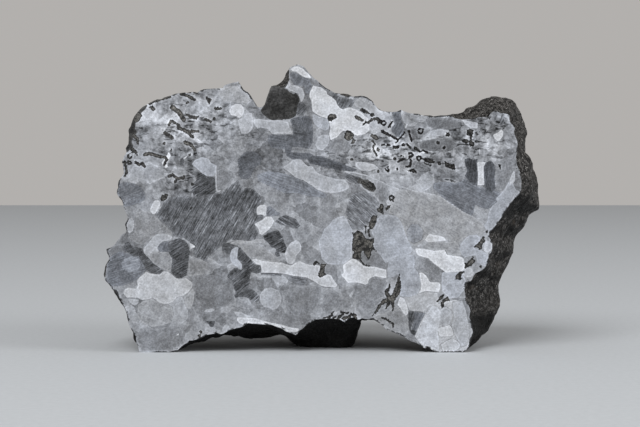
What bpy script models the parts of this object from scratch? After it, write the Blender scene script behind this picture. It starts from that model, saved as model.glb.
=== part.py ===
"""An iron meteorite, cut and etched: one solid piece of iron, sawn flat on one side.

The sawn face looks along -Y. The rest is the stone's natural skin, drawn as slices at growing depth
behind the face and smoothed into one surface. It stands on two feet at the face and one lump behind.
"""

import bmesh
import bpy
import numpy as np

MM = 0.001

# The stone, in millimetres. The drawing's zero is under the middle of the face, on the floor.
DEPTH = 42.0
MIDDLE = (0.907, 21.362)  # x and depth halfway along the stone, where the frame's zero is
TIP = (2.0, 33.0)  # where the back stands furthest from the face, in x and z
SLICES = (4.5, 11.0, 22.0, 31.5, 38.0)  # depth of each slice behind the face
ROWS = 26  # rings of points from the face's rim to the tip of the back
CROWDING = 1.3  # over 1, the rings lie closer together near the rim
RIM_REACH = 7.0  # how far back the rim's small corners still show
FLAT = 0.15  # a foot's points lower than this were worn down to the floor

# Each entry is one stretch of the skin. First comes its stretch of the face's rim, clockwise as seen
# from the front, in x and z. Then comes where the skin behind its first point lies on each slice.
STRETCHES = (
    # left foot and the flank above it
    (((-45.3, 0), (-46.2, 3.3), (-47.6, 6.3)),
     (-45.8, -0.2), (-45.6, 1.8), (-42.8, 5.6), (-36.4, 12), (-23, 22)),
    (((-48.4, 10), (-50.1, 13.6), (-52.3, 16.4)),
     (-50.5, 9.4), (-50.8, 9.6), (-48, 11.4), (-41.6, 16), (-26.4, 24.6)),
    # left ear, and the waist above it
    (((-53.8, 18.3), (-53.5, 21.8), (-52.8, 23.6)),
     (-54.7, 19.4), (-54, 19), (-51, 19), (-44, 22), (-28.6, 28)),
    (((-53.5, 26), (-50.8, 28), (-48.6, 30.1)),
     (-53.8, 25.2), (-52.2, 25.8), (-50.2, 27), (-44, 29), (-29, 32)),
    (((-48.1, 33.2), (-49.2, 37.2)),
     (-48.2, 33), (-48.6, 34), (-48.6, 35), (-42.8, 36), (-28, 36)),
    (((-50.8, 40.3), (-49.8, 43.8), (-49.2, 47.3)),
     (-50.4, 40.8), (-49.8, 42), (-48, 43), (-41, 43), (-26, 40)),
    # top left shoulder
    (((-48.3, 50.8), (-47.6, 53), (-47.5, 56.2)),
     (-48.2, 50.4), (-47.2, 51), (-45, 51), (-38, 49), (-23, 43.6)),
    (((-46, 59.6), (-43.3, 62), (-40.6, 63.4)),
     (-45.4, 58.8), (-43.4, 58.2), (-40.6, 57.2), (-33.6, 53.6), (-19.6, 46)),
    (((-37, 64.4), (-33.7, 65.1), (-31.1, 64.8)),
     (-36.8, 63.4), (-35.4, 61.8), (-33.2, 60), (-27.6, 55.6), (-15.6, 47.4)),
    (((-28, 66), (-24.2, 66.2)),
     (-28, 65), (-27.4, 63), (-26.2, 60.6), (-21.8, 56.2), (-11.8, 48)),
    # the notch, whose groove runs on behind the face
    (((-20.8, 67.7), (-19.3, 66), (-17, 63.8), (-16, 61.8)),
     (-20.8, 66.2), (-20.4, 64), (-19.4, 61), (-16.4, 56.6), (-8.4, 48.4)),
    (((-14.9, 61.3), (-13.8, 62), (-12.8, 65)),
     (-14.8, 60.2), (-14.4, 60), (-13.4, 59.6), (-11.4, 56.4), (-5.6, 48.6)),
    # the spur of skin behind the notch's right-hand side, and the peak
    (((-12, 66.8),),
     (-11.9, 66.2), (-10.8, 63.6), (-9.8, 61), (-8, 56.8), (-4, 48.7)),
    (((-9.6, 66.4), (-7.8, 68.2)),
     (-10.2, 68.2), (-9.2, 66.2), (-8.2, 62.4), (-6.4, 57.2), (-3, 48.7)),
    (((-7.8, 70.6),),
     (-8.6, 70), (-7.4, 67.4), (-6.4, 63.2), (-4.8, 57.4), (-2, 48.6)),
    (((-5.7, 72.1), (-3.4, 70.8), (-1.5, 68.6)),
     (-5.8, 70.8), (-5, 67.6), (-4.2, 63.6), (-3, 57.6), (-0.6, 48.5)),
    (((1, 66.5), (4, 64.9), (7, 64.1)),
     (1.4, 66), (2, 64.6), (2.4, 62.4), (2.8, 56.8), (3.4, 48)),
    (((11.2, 64.1), (13.4, 62.5), (15, 60.6)),
     (11, 63.4), (11, 62), (10.8, 60), (10.6, 54.8), (9, 46.8)),
    (((19, 60.2), (20.3, 60.8), (24.5, 59.8)),
     (19.2, 59.8), (19.4, 59), (19.4, 57.4), (18.4, 52.6), (14.6, 45.2)),
    # the horn at the top right stands higher behind the face than at it
    (((28, 59.1), (32, 59.4)),
     (28.4, 58.6), (28.8, 58), (28.6, 56.8), (26.2, 51.6), (19.6, 43.8)),
    (((34.7, 58.4),),
     (34.6, 58.7), (34.6, 58.8), (34, 58), (31, 51.6), (22.8, 42.8)),
    (((38.5, 58.7),),
     (38.5, 60.4), (39, 61.6), (38.2, 60.8), (34.6, 52.2), (25, 42)),
    (((42.2, 58.8),),
     (42, 62), (42.8, 63.2), (41.8, 61.8), (37.4, 51.8), (26.8, 41.2)),
    (((43.6, 60.5),),
     (44.8, 62.8), (46.6, 64.4), (45.4, 61.4), (40, 50.8), (28.4, 40.4)),
    (((46.9, 59.7), (47.4, 57.6)),
     (48.2, 61.8), (50.4, 62.8), (49, 58.6), (42.8, 48.8), (30, 39)),
    (((48.6, 56), (49.3, 52.4)),
     (50.2, 56.8), (52.6, 56.2), (51.4, 53), (45.2, 45.8), (31.4, 37.2)),
    # right flank, which bulges past the face
    (((48.9, 49),),
     (51, 50.4), (52.3, 51), (52.2, 47.8), (46.6, 42.4), (32.4, 35.2)),
    (((50.2, 44),),
     (52.6, 45.4), (54.6, 46), (53.8, 43.8), (47.4, 39.8), (33, 33.6)),
    (((50.3, 40.8), (48, 37.8)),
     (53, 41), (55.8, 40.6), (54.6, 39.6), (47.8, 36.6), (33.2, 32)),
    (((45.6, 34.3), (43.4, 31)),
     (49.4, 34.8), (53.2, 34.2), (53, 33), (46.8, 31.6), (32.6, 29.8)),
    (((42.6, 28.6), (42.9, 25.4)),
     (45.8, 28.6), (49.4, 28), (49.6, 27), (44.2, 26.8), (31, 27.2)),
    (((41.9, 22.5), (40.2, 20.4)),
     (44.6, 22.4), (48.5, 21.8), (47.4, 20.8), (41.6, 21.8), (28.8, 24.6)),
    (((38.1, 18.4), (36.3, 16.6), (36.5, 13.5)),
     (42.4, 16.6), (46.9, 15.2), (44.8, 14.8), (38.4, 17.2), (26, 22.2)),
    (((37.7, 10.3), (38.2, 5.8)),
     (40.4, 10.2), (45, 9.2), (41.8, 9.8), (35.4, 13.6), (23, 20.2)),
    # right foot, and the slope from it up to the gap that runs right under the stone
    (((36.4, 0),),
     (36.6, -0.2), (39.6, 3.2), (37.4, 6.4), (32, 11), (20, 18.6)),
    (((29.5, 0), (26, 1.1), (22.3, 3.1), (18.5, 5)),
     (29.4, -0.2), (29.8, 2.4), (28.6, 5), (24.8, 9.4), (16, 17)),
    (((15.4, 7), (13.3, 8.3)),
     (16, 7.4), (16.6, 7.8), (16.6, 7.6), (16, 9), (11.6, 15.8)),
    (((10.6, 8.4),),
     (10.8, 8.2), (10.8, 7.6), (11, 7.4), (11, 8.6), (8.4, 15.2)),
    # the lump behind the arch, the third foot
    (((7.4, 8.5),),
     (8.6, 7.8), (9.2, 4.6), (9.6, 4.4), (9, 7.4), (6, 14.8)),
    (((5, 8.4), (0, 8.4)),
     (5.8, 6.8), (6.4, -0.2), (7, -0.2), (6.4, 5.4), (3.8, 14.6)),
    (((-3.4, 6.9),),
     (-3.4, 5.6), (-3.4, -0.2), (-3.8, -0.2), (-3, 5.2), (-1.4, 14.5)),
    # the arch between the lump and the left foot, over a low belly
    (((-6.2, 4.4), (-9, 5.6)),
     (-6.8, 4.6), (-8.4, 2.2), (-8.8, 2.6), (-7.8, 5.8), (-4.4, 14.8)),
    (((-12.4, 7), (-17.5, 7.3), (-21.5, 6)),
     (-13, 6), (-14, 2.8), (-14.4, 3.2), (-12.4, 6.4), (-7.2, 15.4)),
    (((-24.6, 4.6), (-28.2, 4.4), (-32.6, 3)),
     (-25, 4.2), (-26, 2.6), (-25.4, 3.6), (-21, 8), (-12.8, 17)),
    (((-35.4, 0.9),),
     (-34.4, 1.4), (-34, 2.2), (-33, 4), (-28, 9), (-17, 18.8)),
    (((-38.5, 0),),
     (-39, -0.2), (-38.8, 1.6), (-37, 4.6), (-31.4, 10), (-19.6, 20.2)),
)

# Thumbprints that the hot air scooped out of the skin, each x, depth behind the face, z, radius and
# how deep. Where two meet, a ridge is left. Then lumps, with how high they stand.
THUMBPRINTS = (
    (-38, 27, 46, 11, 3.0),
    (-25, 35, 49, 11, 3.2),
    (-32, 34, 30, 12, 3.4),
    (-15, 39, 37, 11, 2.8),
    (-14, 36, 20, 11, 3.0),
    (3, 42, 40, 10, 2.6),
    (4, 39, 24, 9, 2.4),
    (9, 34, 53, 11, 3.2),
    (21, 38, 37, 11, 3.0),
    (32, 32, 49, 9, 2.8),
    (38, 31, 29, 11, 3.4),
    (21, 35, 20, 10, 3.0),
    (48, 25, 40, 8, 2.2),
    (55, 14, 49, 7, 1.5),
    (49, 17, 18, 8, 1.6),
    (29, 19, 60, 9, 2.2),
    (-3, 22, 64, 8, 2.0),
    (-26, 20, 63, 9, 2.2),
    (-44, 19, 56, 8, 2.0),
    (-51, 15, 36, 8, 1.8),
    (-46, 22, 15, 9, 2.4),
    (-22, 31, 7, 9, 1.8),
    (30, 28, 9, 9, 1.8),
    (-40, 31, 33, 8, 1.8),
)
LUMPS = (
    (-22, 37, 30, 6, 1.2),
    (-8, 37, 49, 6, 1.4),
    (12, 40, 30, 6, 1.2),
    (28, 34, 40, 6, 1.2),
    (45, 18, 61, 6, 0.8),
    (54, 15, 41, 7, 0.6),
    (47, 22, 27, 5, 0.8),
    (-34, 28, 12, 6, 1.0),
    (-47, 21, 46, 6, 0.8),
)

# Low waves all over the skin: each layer's wavelength, its height and the seed it is drawn from.
WAVES = ((16, 0.7, 3), (7, 0.35, 4))
WAVE_COUNT = 20
WAVE_START = 6.0  # the waves reach their full height this far behind the face

IRON_GREY = (0.30, 0.30, 0.31, 1)


def through(knots, values, at):
    """A smooth curve through the values. Each span is a cubic, whose slope at a knot is the mean of the
    straight slopes on either side, weighted towards the shorter span. The end knots only set slopes."""
    span = np.diff(knots)
    wide = span.reshape(-1, *[1] * (values.ndim - 1))
    slope = np.diff(values, axis=0) / wide
    lean = (slope[:-1] * wide[1:] + slope[1:] * wide[:-1]) / (wide[:-1] + wide[1:])
    k = np.clip(np.searchsorted(knots, at, side="right") - 1, 1, len(knots) - 3)
    s = ((at - knots[k]) / span[k]).reshape(-1, *[1] * (values.ndim - 1))
    h = wide[k]
    rise = s * s * (3 - 2 * s)
    return (
        values[k] * (1 - rise)
        + values[k + 1] * rise
        + lean[k - 1] * h * s * (1 - s) ** 2
        - lean[k] * h * s * s * (1 - s)
    )


def round_the_rim(stretches):
    """The rim's points, each point's distance along the rim, and the points that begin a stretch."""
    rim = np.array([point for stretch in stretches for point in stretch[0]], float)
    first = np.cumsum([0] + [len(stretch[0]) for stretch in stretches])[:-1]
    step = np.linalg.norm(np.roll(rim, -1, axis=0) - rim, axis=1)
    return rim, np.concatenate([[0], np.cumsum(step)]), first


def skin(stretches, rows):
    """Rings of points from the rim to the tip, in x, depth and z.

    Going back, a curve runs through a stretch's start on the rim, on every slice and at the tip, where
    it comes in level. Going round, a curve runs through the starts of all stretches. The rim's own
    small corners are added at the face and fade away behind it."""
    rim, along, first = round_the_rim(stretches)
    depth = np.array([0, *SLICES, DEPTH])
    ribs = np.array(
        [[rim[n], *stretch[1:], TIP] for n, stretch in zip(first, stretches)], float
    ).transpose(1, 0, 2)
    ribs = np.insert(ribs, 1, depth[:, None], axis=2)
    before = 2 * ribs[:1] - ribs[1:2]
    beyond = 2 * ribs[-1:] - ribs[-2:-1]
    beyond[..., 1] = SLICES[-1]
    ribs = np.concatenate([before, ribs, beyond])
    reach = np.linalg.norm(np.diff(ribs, axis=0), axis=2).mean(axis=1)
    back = np.concatenate([[0], np.cumsum(reach)]) - reach[0]
    at = back[-2] * np.linspace(0, 1, rows) ** CROWDING
    ribs = through(back, ribs, at)

    length = along[-1]
    places = along[first]
    knots = np.concatenate([places[-2:] - length, places, places[:2] + length])
    ribs = np.concatenate([ribs[:, -2:], ribs, ribs[:, :2]], axis=1).transpose(1, 0, 2)
    rings = through(knots, ribs, along[:-1]).transpose(1, 0, 2)
    corners = rim - rings[0][:, ::2]
    rings[:, :, ::2] += np.exp(-((at / RIM_REACH) ** 2))[:, None, None] * corners
    return rings


def outward(rings):
    """Unit normals of the rings: the step round crossed with the step back. The tip looks straight back."""
    around = np.roll(rings, -1, axis=1) - np.roll(rings, 1, axis=1)
    back = np.gradient(rings, axis=0)
    normal = np.cross(around, back)
    normal[-1] = (0, 1, 0)
    return normal / np.maximum(np.linalg.norm(normal, axis=2, keepdims=True), 1e-9)


def waves(points, wavelength, seed):
    """A smooth random height, about -1 to 1: the mean of plane waves that run in random directions."""
    draw = np.random.default_rng(seed)
    way = draw.normal(size=(WAVE_COUNT, 3))
    way /= np.linalg.norm(way, axis=1, keepdims=True)
    way *= 2 * np.pi / (wavelength * draw.uniform(0.7, 1.5, (WAVE_COUNT, 1)))
    phase = draw.uniform(0, 2 * np.pi, WAVE_COUNT)
    return np.sin(points @ way.T + phase).sum(axis=-1) / np.sqrt(WAVE_COUNT)


def weathered(rings):
    """The rings moved along their normals, starting from nothing at the face's rim. A thumbprint is a
    bowl with a sharp edge, and the deepest one counts. A lump ends level, and the highest counts."""
    height = np.zeros(rings.shape[:2])
    for x, deep, z, radius, sunk in THUMBPRINTS:
        off = np.linalg.norm(rings - (x, deep, z), axis=2) / radius
        height = np.minimum(height, -sunk * (1 - off * off))
    lump = np.zeros(rings.shape[:2])
    for x, deep, z, radius, rise in LUMPS:
        off = np.linalg.norm(rings - (x, deep, z), axis=2) / radius
        lump = np.maximum(lump, rise * np.clip(1 - off * off, 0, 1) ** 2)
    height += lump
    for wavelength, rise, seed in WAVES:
        height += rise * waves(rings, wavelength, seed)
    height *= np.clip(rings[..., 1] / WAVE_START, 0, 1)
    return rings + height[..., None] * outward(rings)


def stone(name):
    """The whole stone: bridged rings, closed by the sawn face in front and by the tip behind."""
    rings = weathered(skin(STRETCHES, ROWS))
    rings[..., 2] = np.where(rings[..., 2] < FLAT, 0, rings[..., 2])
    places = (rings - (*MIDDLE, 0)) * MM
    bm = bmesh.new()
    loops = [[bm.verts.new(place) for place in ring] for ring in places[:-1]]
    tip = bm.verts.new(places[-1].mean(axis=0))
    bm.faces.new(loops[0])
    for near, far in zip(loops[:-1], loops[1:]):
        for n in range(len(near)):
            bm.faces.new((near[n - 1], far[n - 1], far[n], near[n]))
    for n in range(len(loops[-1])):
        bm.faces.new((loops[-1][n - 1], tip, loops[-1][n]))
    bmesh.ops.recalc_face_normals(bm, faces=bm.faces)
    bmesh.ops.triangulate(bm, faces=bm.faces)
    mesh = bpy.data.meshes.new(name)
    bm.to_mesh(mesh)
    bm.free()
    return mesh


def etched_iron(name):
    material = bpy.data.materials.new(name)
    material.use_nodes = True
    shader = material.node_tree.nodes["Principled BSDF"]
    shader.inputs["Base Color"].default_value = IRON_GREY
    shader.inputs["Metallic"].default_value = 0.7
    shader.inputs["Roughness"].default_value = 0.55
    return material


for old in list(bpy.data.objects):
    bpy.data.objects.remove(old)

mesh = stone("meteorite")
mesh.materials.append(etched_iron("etched iron"))
mesh.shade_smooth()
mesh.set_sharp_from_angle(angle=np.radians(40))
bpy.context.collection.objects.link(bpy.data.objects.new("meteorite", mesh))
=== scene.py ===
"""The looks of the iron meteorite: its dark natural skin, and its sawn, polished and etched face."""

import bpy
import numpy as np
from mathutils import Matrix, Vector


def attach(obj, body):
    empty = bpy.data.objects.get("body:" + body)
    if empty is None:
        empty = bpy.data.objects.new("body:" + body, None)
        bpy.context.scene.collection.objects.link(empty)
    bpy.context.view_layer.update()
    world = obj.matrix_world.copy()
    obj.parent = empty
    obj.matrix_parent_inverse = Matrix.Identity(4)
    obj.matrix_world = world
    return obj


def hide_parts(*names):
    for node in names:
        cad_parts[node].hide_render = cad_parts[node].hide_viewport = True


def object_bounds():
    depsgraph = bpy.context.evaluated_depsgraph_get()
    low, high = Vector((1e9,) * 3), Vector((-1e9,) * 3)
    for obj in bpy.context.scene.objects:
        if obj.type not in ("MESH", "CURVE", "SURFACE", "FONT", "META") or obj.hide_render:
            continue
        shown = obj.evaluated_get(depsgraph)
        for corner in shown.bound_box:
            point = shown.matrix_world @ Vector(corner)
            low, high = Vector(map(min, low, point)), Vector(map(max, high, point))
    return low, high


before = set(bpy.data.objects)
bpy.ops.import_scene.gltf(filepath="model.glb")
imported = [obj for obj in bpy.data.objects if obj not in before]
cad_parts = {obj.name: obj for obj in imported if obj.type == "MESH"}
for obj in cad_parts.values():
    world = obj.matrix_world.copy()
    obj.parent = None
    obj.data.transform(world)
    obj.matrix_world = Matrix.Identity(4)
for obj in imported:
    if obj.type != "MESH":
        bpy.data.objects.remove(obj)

CAD_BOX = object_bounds()

# The natural skin
# The outside of a lump of nickel-iron. The air scooped thumbprints out of it in its fall, and years in
# the ground rusted it dark and rough. It is the same iron as the face, so nothing fixes the two.

MM = 0.001
DEPTH = 42.0
MIDDLE = (0.907, 21.362)  # x and depth halfway along the stone, where the frame's zero is
TIP = (2.0, 33.0)  # where the back stands furthest from the face, in x and z
SLICES = (4.5, 11.0, 22.0, 31.5, 38.0)  # depth of each slice behind the face

# Each entry is one stretch of the skin. First comes its stretch of the face's rim, clockwise as seen
# from the front, in x and z. Then comes where the skin behind its first point lies on each slice.
STRETCHES = (
    # left foot and the flank above it
    (((-45.3, 0), (-45.5, 0.6), (-45.7, 1.5), (-46.1, 2.4), (-46.2, 3.3), (-46.1, 4), (-47, 5.2),
      (-47.6, 6.3), (-48.1, 7.8)),
     (-44.6, -0.2), (-44, 1.8), (-41.8, 5.6), (-36.4, 12), (-23, 22)),
    (((-48.4, 10), (-49, 11.5), (-49.6, 12.6), (-50.1, 13.6), (-50.7, 14.6), (-51.5, 15.6),
      (-52.3, 16.4), (-53, 17.3)),
     (-49.6, 9.6), (-50, 9.8), (-47.6, 11.4), (-41.6, 16), (-26.4, 24.6)),
    # left ear, and the waist above it
    (((-53.8, 18.1), (-53.9, 18.6), (-53.7, 19.5), (-53.5, 21.8), (-53.2, 22.6), (-52.8, 23.3),
      (-52.8, 24.2), (-53.2, 24.8)),
     (-54.7, 19.4), (-54, 19), (-51, 19), (-44, 22), (-28.6, 28)),
    (((-53.5, 26), (-52.8, 26.2), (-51.9, 26.6), (-51.2, 27.3), (-50.8, 28), (-50.2, 28.5),
      (-49.9, 29.3), (-49.3, 29.8), (-48.5, 30.1), (-48.4, 30.6), (-48.6, 31.5), (-48.8, 32.2),
      (-48.4, 32.9)),
     (-53.8, 25.2), (-52.2, 25.8), (-50.2, 27), (-44, 29), (-29, 32)),
    (((-48, 33.5), (-48.3, 34.8), (-48.6, 35.5), (-49, 36.2), (-49.2, 37.2), (-49.5, 38.2), (-50, 38.7),
      (-50.4, 39.2)),
     (-48.2, 33), (-48.6, 34), (-48.6, 35), (-42.8, 36), (-28, 36)),
    (((-50.8, 40), (-50.7, 40.8), (-50.4, 41.3), (-50.5, 42.1), (-50.3, 43), (-49.8, 43.8),
      (-49.3, 44.4), (-48.9, 45), (-49.1, 45.8), (-49.2, 47.3), (-49.5, 47.7), (-49.2, 48.3),
      (-48.9, 49.3), (-48.4, 49.8)),
     (-50.4, 40.8), (-49.8, 42), (-48, 43), (-41, 43), (-26, 40)),
    # top left shoulder
    (((-48.3, 50.5), (-48.5, 51.2), (-48.2, 51.7), (-47.8, 52.3), (-47.6, 53), (-47.5, 53.8),
      (-47.8, 55.5), (-47.7, 56), (-47.2, 56.7), (-47, 57.5), (-46.7, 58.3), (-46.4, 59)),
     (-48.2, 50.4), (-47.2, 51), (-45, 51), (-38, 49), (-23, 43.6)),
    (((-46, 59.6), (-45.4, 60.3), (-44.8, 61), (-44.1, 61.6), (-43.3, 62), (-42.5, 62.5), (-41.5, 63),
      (-40.6, 63.4), (-39.5, 63.4), (-39, 63.8), (-38, 64.1)),
     (-45.4, 58.8), (-43.4, 58.2), (-40.6, 57.2), (-33.6, 53.6), (-19.6, 46)),
    (((-37, 64.4), (-36, 64.8), (-34.5, 65), (-33.7, 65.1), (-33, 64.8), (-32.3, 64.9), (-31.9, 65.3),
      (-31.3, 64.9), (-30.8, 64.8), (-30.4, 65.2), (-29.8, 65.6), (-29, 65.9)),
     (-36.8, 63.4), (-35.4, 61.8), (-33.2, 60), (-27.6, 55.6), (-15.6, 47.4)),
    (((-28, 66), (-26, 66.1), (-24.2, 66.2), (-23.9, 66.8), (-23.3, 67.1), (-22.5, 67.3), (-21.5, 67.6)),
     (-28, 65), (-27.4, 63), (-26.2, 60.6), (-21.8, 56.2), (-11.8, 48)),
    # the notch, whose groove runs on behind the face
    (((-20.8, 67.6), (-20.4, 67.9), (-20, 67.2), (-19.7, 66.5), (-19.3, 66), (-18.5, 65.4), (-18, 65.2),
      (-17.5, 64.6), (-17, 63.8), (-16.7, 63.1), (-16.3, 62.4), (-16, 61.8), (-15.4, 61.5)),
     (-20.8, 66.2), (-20.4, 64), (-19.4, 61), (-16.4, 56.6), (-8.4, 48.4)),
    (((-14.9, 61.3), (-14.4, 61.5), (-13.8, 62), (-13.5, 63), (-13.2, 64), (-12.8, 65), (-12.5, 66)),
     (-14.8, 60.2), (-14.4, 60), (-13.4, 59.6), (-11.4, 56.4), (-5.6, 48.6)),
    # the spur of skin behind the notch's right-hand side, and the peak
    (((-12.1, 66.7), (-11.4, 66.8)),
     (-11.9, 66.2), (-10.8, 63.6), (-9.8, 61), (-8, 56.8), (-4, 48.7)),
    (((-9.6, 66.4), (-8.6, 67.2), (-7.8, 68.2), (-7.6, 69), (-7.9, 70.1)),
     (-10.2, 68.2), (-9.2, 66.2), (-8.2, 62.4), (-6.4, 57.2), (-3, 48.7)),
    (((-7.8, 70.7), (-7.5, 71.3), (-7, 71.6), (-6.2, 71.8)),
     (-8.6, 70), (-7.4, 67.4), (-6.4, 63.2), (-4.8, 57.4), (-2, 48.6)),
    (((-5.7, 72.1), (-5, 71.9), (-4.3, 71.7), (-3.9, 71.4), (-3.4, 70.8), (-2.8, 70), (-2.2, 69.3),
      (-1.5, 68.6), (-0.8, 68.2), (0, 67.4)),
     (-5.8, 70.8), (-5, 67.6), (-4.2, 63.6), (-3, 57.6), (-0.6, 48.5)),
    (((0.7, 66.8), (1.5, 66.2), (2.5, 65.7), (3.3, 65.2), (4, 64.9), (4.8, 64.8), (5.3, 64.4),
      (6.2, 64.2), (7, 64.1), (9, 64.1), (10, 64.3)),
     (1.4, 66), (2, 64.6), (2.4, 62.4), (2.8, 56.8), (3.4, 48)),
    (((11, 64.2), (11.8, 63.9), (12.3, 63.5), (12.8, 63.2), (13.3, 62.7), (13.6, 62.1), (14, 61.6),
      (14.5, 61), (15, 60.6), (16, 60.4), (17.5, 60.2)),
     (11, 63.4), (11, 62), (10.8, 60), (10.6, 54.8), (9, 46.8)),
    (((19, 60.3), (19.6, 60.5), (20.1, 60.8), (20.7, 60.5), (21.5, 60.2), (22.5, 59.9), (24.5, 59.8),
      (25.2, 59.5), (26, 59.3)),
     (19.2, 59.8), (19.4, 59), (19.4, 57.4), (18.4, 52.6), (14.6, 45.2)),
    # the horn at the top right stands higher behind the face than at it
    (((28, 59.1), (30, 59.4), (31.5, 59.4), (32.4, 59.4), (33.5, 58.8)),
     (28.4, 58.6), (28.8, 58), (28.6, 56.8), (26.2, 51.6), (19.6, 43.8)),
    (((34.7, 58.4), (36.5, 58.4), (38, 58.5)),
     (34.6, 58.7), (34.6, 58.8), (34, 58), (31, 51.6), (22.8, 42.8)),
    (((39, 58.9), (41.5, 59)),
     (38.5, 60.4), (39, 61.6), (38.2, 60.8), (34.6, 52.2), (25, 42)),
    (((42.2, 58.8), (42.5, 59.5), (43, 60.2)),
     (42, 62), (42.8, 63.2), (41.8, 61.8), (37.4, 51.8), (26.8, 41.2)),
    (((43.5, 60.5), (44, 60.4), (45, 60), (46, 59.9)),
     (44.8, 62.8), (46.6, 64.4), (45.4, 61.4), (40, 50.8), (28.4, 40.4)),
    (((46.8, 59.7), (47.3, 59.3), (47.2, 58.3), (47.5, 57.5), (48.2, 56.8)),
     (48.2, 61.8), (50.4, 62.8), (49, 58.6), (42.8, 48.8), (30, 39)),
    (((48.6, 56.2), (48.4, 55.2), (48.7, 54.2), (49.2, 53), (49.3, 52.2), (49.2, 50.5)),
     (50.2, 56.8), (52.6, 56.2), (51.4, 53), (45.2, 45.8), (31.4, 37.2)),
    # right flank, which bulges past the face
    (((48.9, 49), (49.2, 47), (50, 45)),
     (51, 50.4), (52.3, 51), (52.2, 47.8), (46.6, 42.4), (32.4, 35.2)),
    (((50.3, 43),),
     (52.6, 45.4), (54.6, 46), (53.8, 43.8), (47.4, 39.8), (33, 33.6)),
    (((50.3, 41), (50.2, 40), (49.5, 39.3), (48.6, 38.7), (48, 37.8), (47.3, 37), (46.7, 36),
      (46, 34.9)),
     (53, 41), (55.8, 40.6), (54.6, 39.6), (47.8, 36.6), (33.2, 32)),
    (((45.3, 33.8), (44.5, 32.8), (44, 31.8), (43.4, 31), (42.7, 30.3), (42.3, 29.6)),
     (49.4, 34.8), (53.2, 34.2), (53, 33), (46.8, 31.6), (32.6, 29.8)),
    (((42.6, 28.4), (43.1, 27.5), (43.1, 26), (42.8, 25.1), (42.3, 24.5), (42.1, 23.5)),
     (45.8, 28.6), (49.4, 28), (49.6, 27), (44.2, 26.8), (31, 27.2)),
    (((41.9, 22.5), (41.5, 21.6), (40.8, 20.8), (40, 20.4), (39, 20), (38.5, 19.3)),
     (44.6, 22.4), (48.5, 21.8), (47.4, 20.8), (41.6, 21.8), (28.8, 24.6)),
    (((38.1, 18.4), (37.6, 17.8), (36.6, 17.4), (36.2, 15.8), (36.4, 14.5), (36.5, 13.5), (36.9, 12.5),
      (37.4, 11.5)),
     (42.4, 16.6), (46.9, 15.2), (44.8, 14.8), (38.4, 17.2), (26, 22.2)),
    (((37.7, 10.5), (37.4, 8.8), (37.8, 8), (38.1, 7), (38.2, 5.8), (38.4, 4.8), (38.1, 4), (37.8, 3),
      (37.6, 2), (37.2, 1.2), (36.6, 0.6)),
     (40.4, 10.2), (45, 9.2), (41.8, 9.8), (35.4, 13.6), (23, 20.2)),
    # right foot, and the slope from it up to the gap that runs right under the stone
    (((36.1, 0),),
     (36.6, -0.2), (39.6, 3.2), (37.4, 6.4), (32, 11), (20, 18.6)),
    (((29.5, 0), (28.3, 0.5), (27.6, 1), (26.9, 1.5), (26.5, 0.9), (26, 1.1), (25, 1.9), (24.1, 2.5),
      (23.2, 2.7), (22.3, 3.1), (21.5, 3.7), (20.5, 4.2), (19.5, 4.6), (18.5, 5), (17.5, 5.4),
      (16.6, 5.9)),
     (29.4, -0.2), (29.8, 2.4), (28.6, 5), (24.8, 9.4), (16, 17)),
    (((15.9, 6.6), (15, 7.3), (14, 7.9), (13.3, 8.3), (11.5, 8.4)),
     (16, 7.4), (16.6, 7.8), (16.6, 7.6), (16, 9), (11.6, 15.8)),
    (((10.5, 8.6), (9.8, 8.3), (9.2, 8.3), (8.5, 8.9)),
     (10, 8.2), (9.8, 7.4), (10, 7.2), (10.6, 8.6), (8.4, 15.2)),
    # the lump behind the arch, the third foot
    (((7, 8.5), (6.2, 7.6)),
     (8.4, 7.6), (8.9, 4.4), (9.2, 4.2), (8.6, 7.4), (6, 14.8)),
    (((5, 8.3), (3, 8.6), (2, 8.5), (0, 8.4), (-1, 8.3), (-1.7, 7.9), (-2.5, 7.5)),
     (5.8, 6.8), (6.4, -0.2), (7, -0.2), (6.4, 5.4), (3.8, 14.6)),
    (((-3.2, 7.1), (-3.8, 6.6), (-4.3, 6), (-5, 5.6), (-5.6, 4.8)),
     (-3.4, 5.6), (-3.4, -0.2), (-3.8, -0.2), (-3, 5.2), (-1.4, 14.5)),
    # the arch between the lump and the left foot, over a low belly
    (((-6.1, 4.4), (-6.7, 4.6), (-7.3, 4.9), (-8, 5.1), (-8.8, 5.4), (-9.3, 5.9), (-9.8, 6.1),
      (-10.5, 6.3), (-11.5, 6.7)),
     (-6.8, 4.6), (-8.4, 2.2), (-8.8, 2.6), (-7.8, 5.8), (-4.4, 14.8)),
    (((-12.2, 7), (-13, 6.9), (-14, 7), (-16, 7.2), (-17, 7.2), (-18, 7.4), (-18.5, 7.1), (-19.2, 6.6),
      (-20, 6.3), (-21, 6.1), (-22, 5.8), (-22.8, 5.5), (-23.6, 5.1)),
     (-13, 6), (-14, 2.8), (-14.4, 3.2), (-12.4, 6.4), (-7.2, 15.4)),
    (((-24.3, 4.7), (-25, 4.6), (-25.9, 5), (-26.8, 4.7), (-27.8, 4.5), (-28.5, 4.4), (-29.3, 3.9),
      (-30.2, 3.6), (-31.2, 3.2), (-32.2, 3), (-32.9, 3), (-33.3, 2.4), (-34, 2.1), (-34.6, 1.6)),
     (-25, 4.2), (-26, 2.6), (-25.4, 3.6), (-21, 8), (-12.8, 17)),
    (((-35.2, 1.1), (-35.7, 0.6), (-36.5, 0.5), (-37.5, 0.2)),
     (-34.4, 1.4), (-34, 2.2), (-33, 4), (-28, 9), (-17, 18.8)),
    (((-38.5, 0),),
     (-39, -0.2), (-38.8, 1.6), (-37, 4.6), (-31.4, 10), (-19.6, 20.2)),
)

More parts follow.
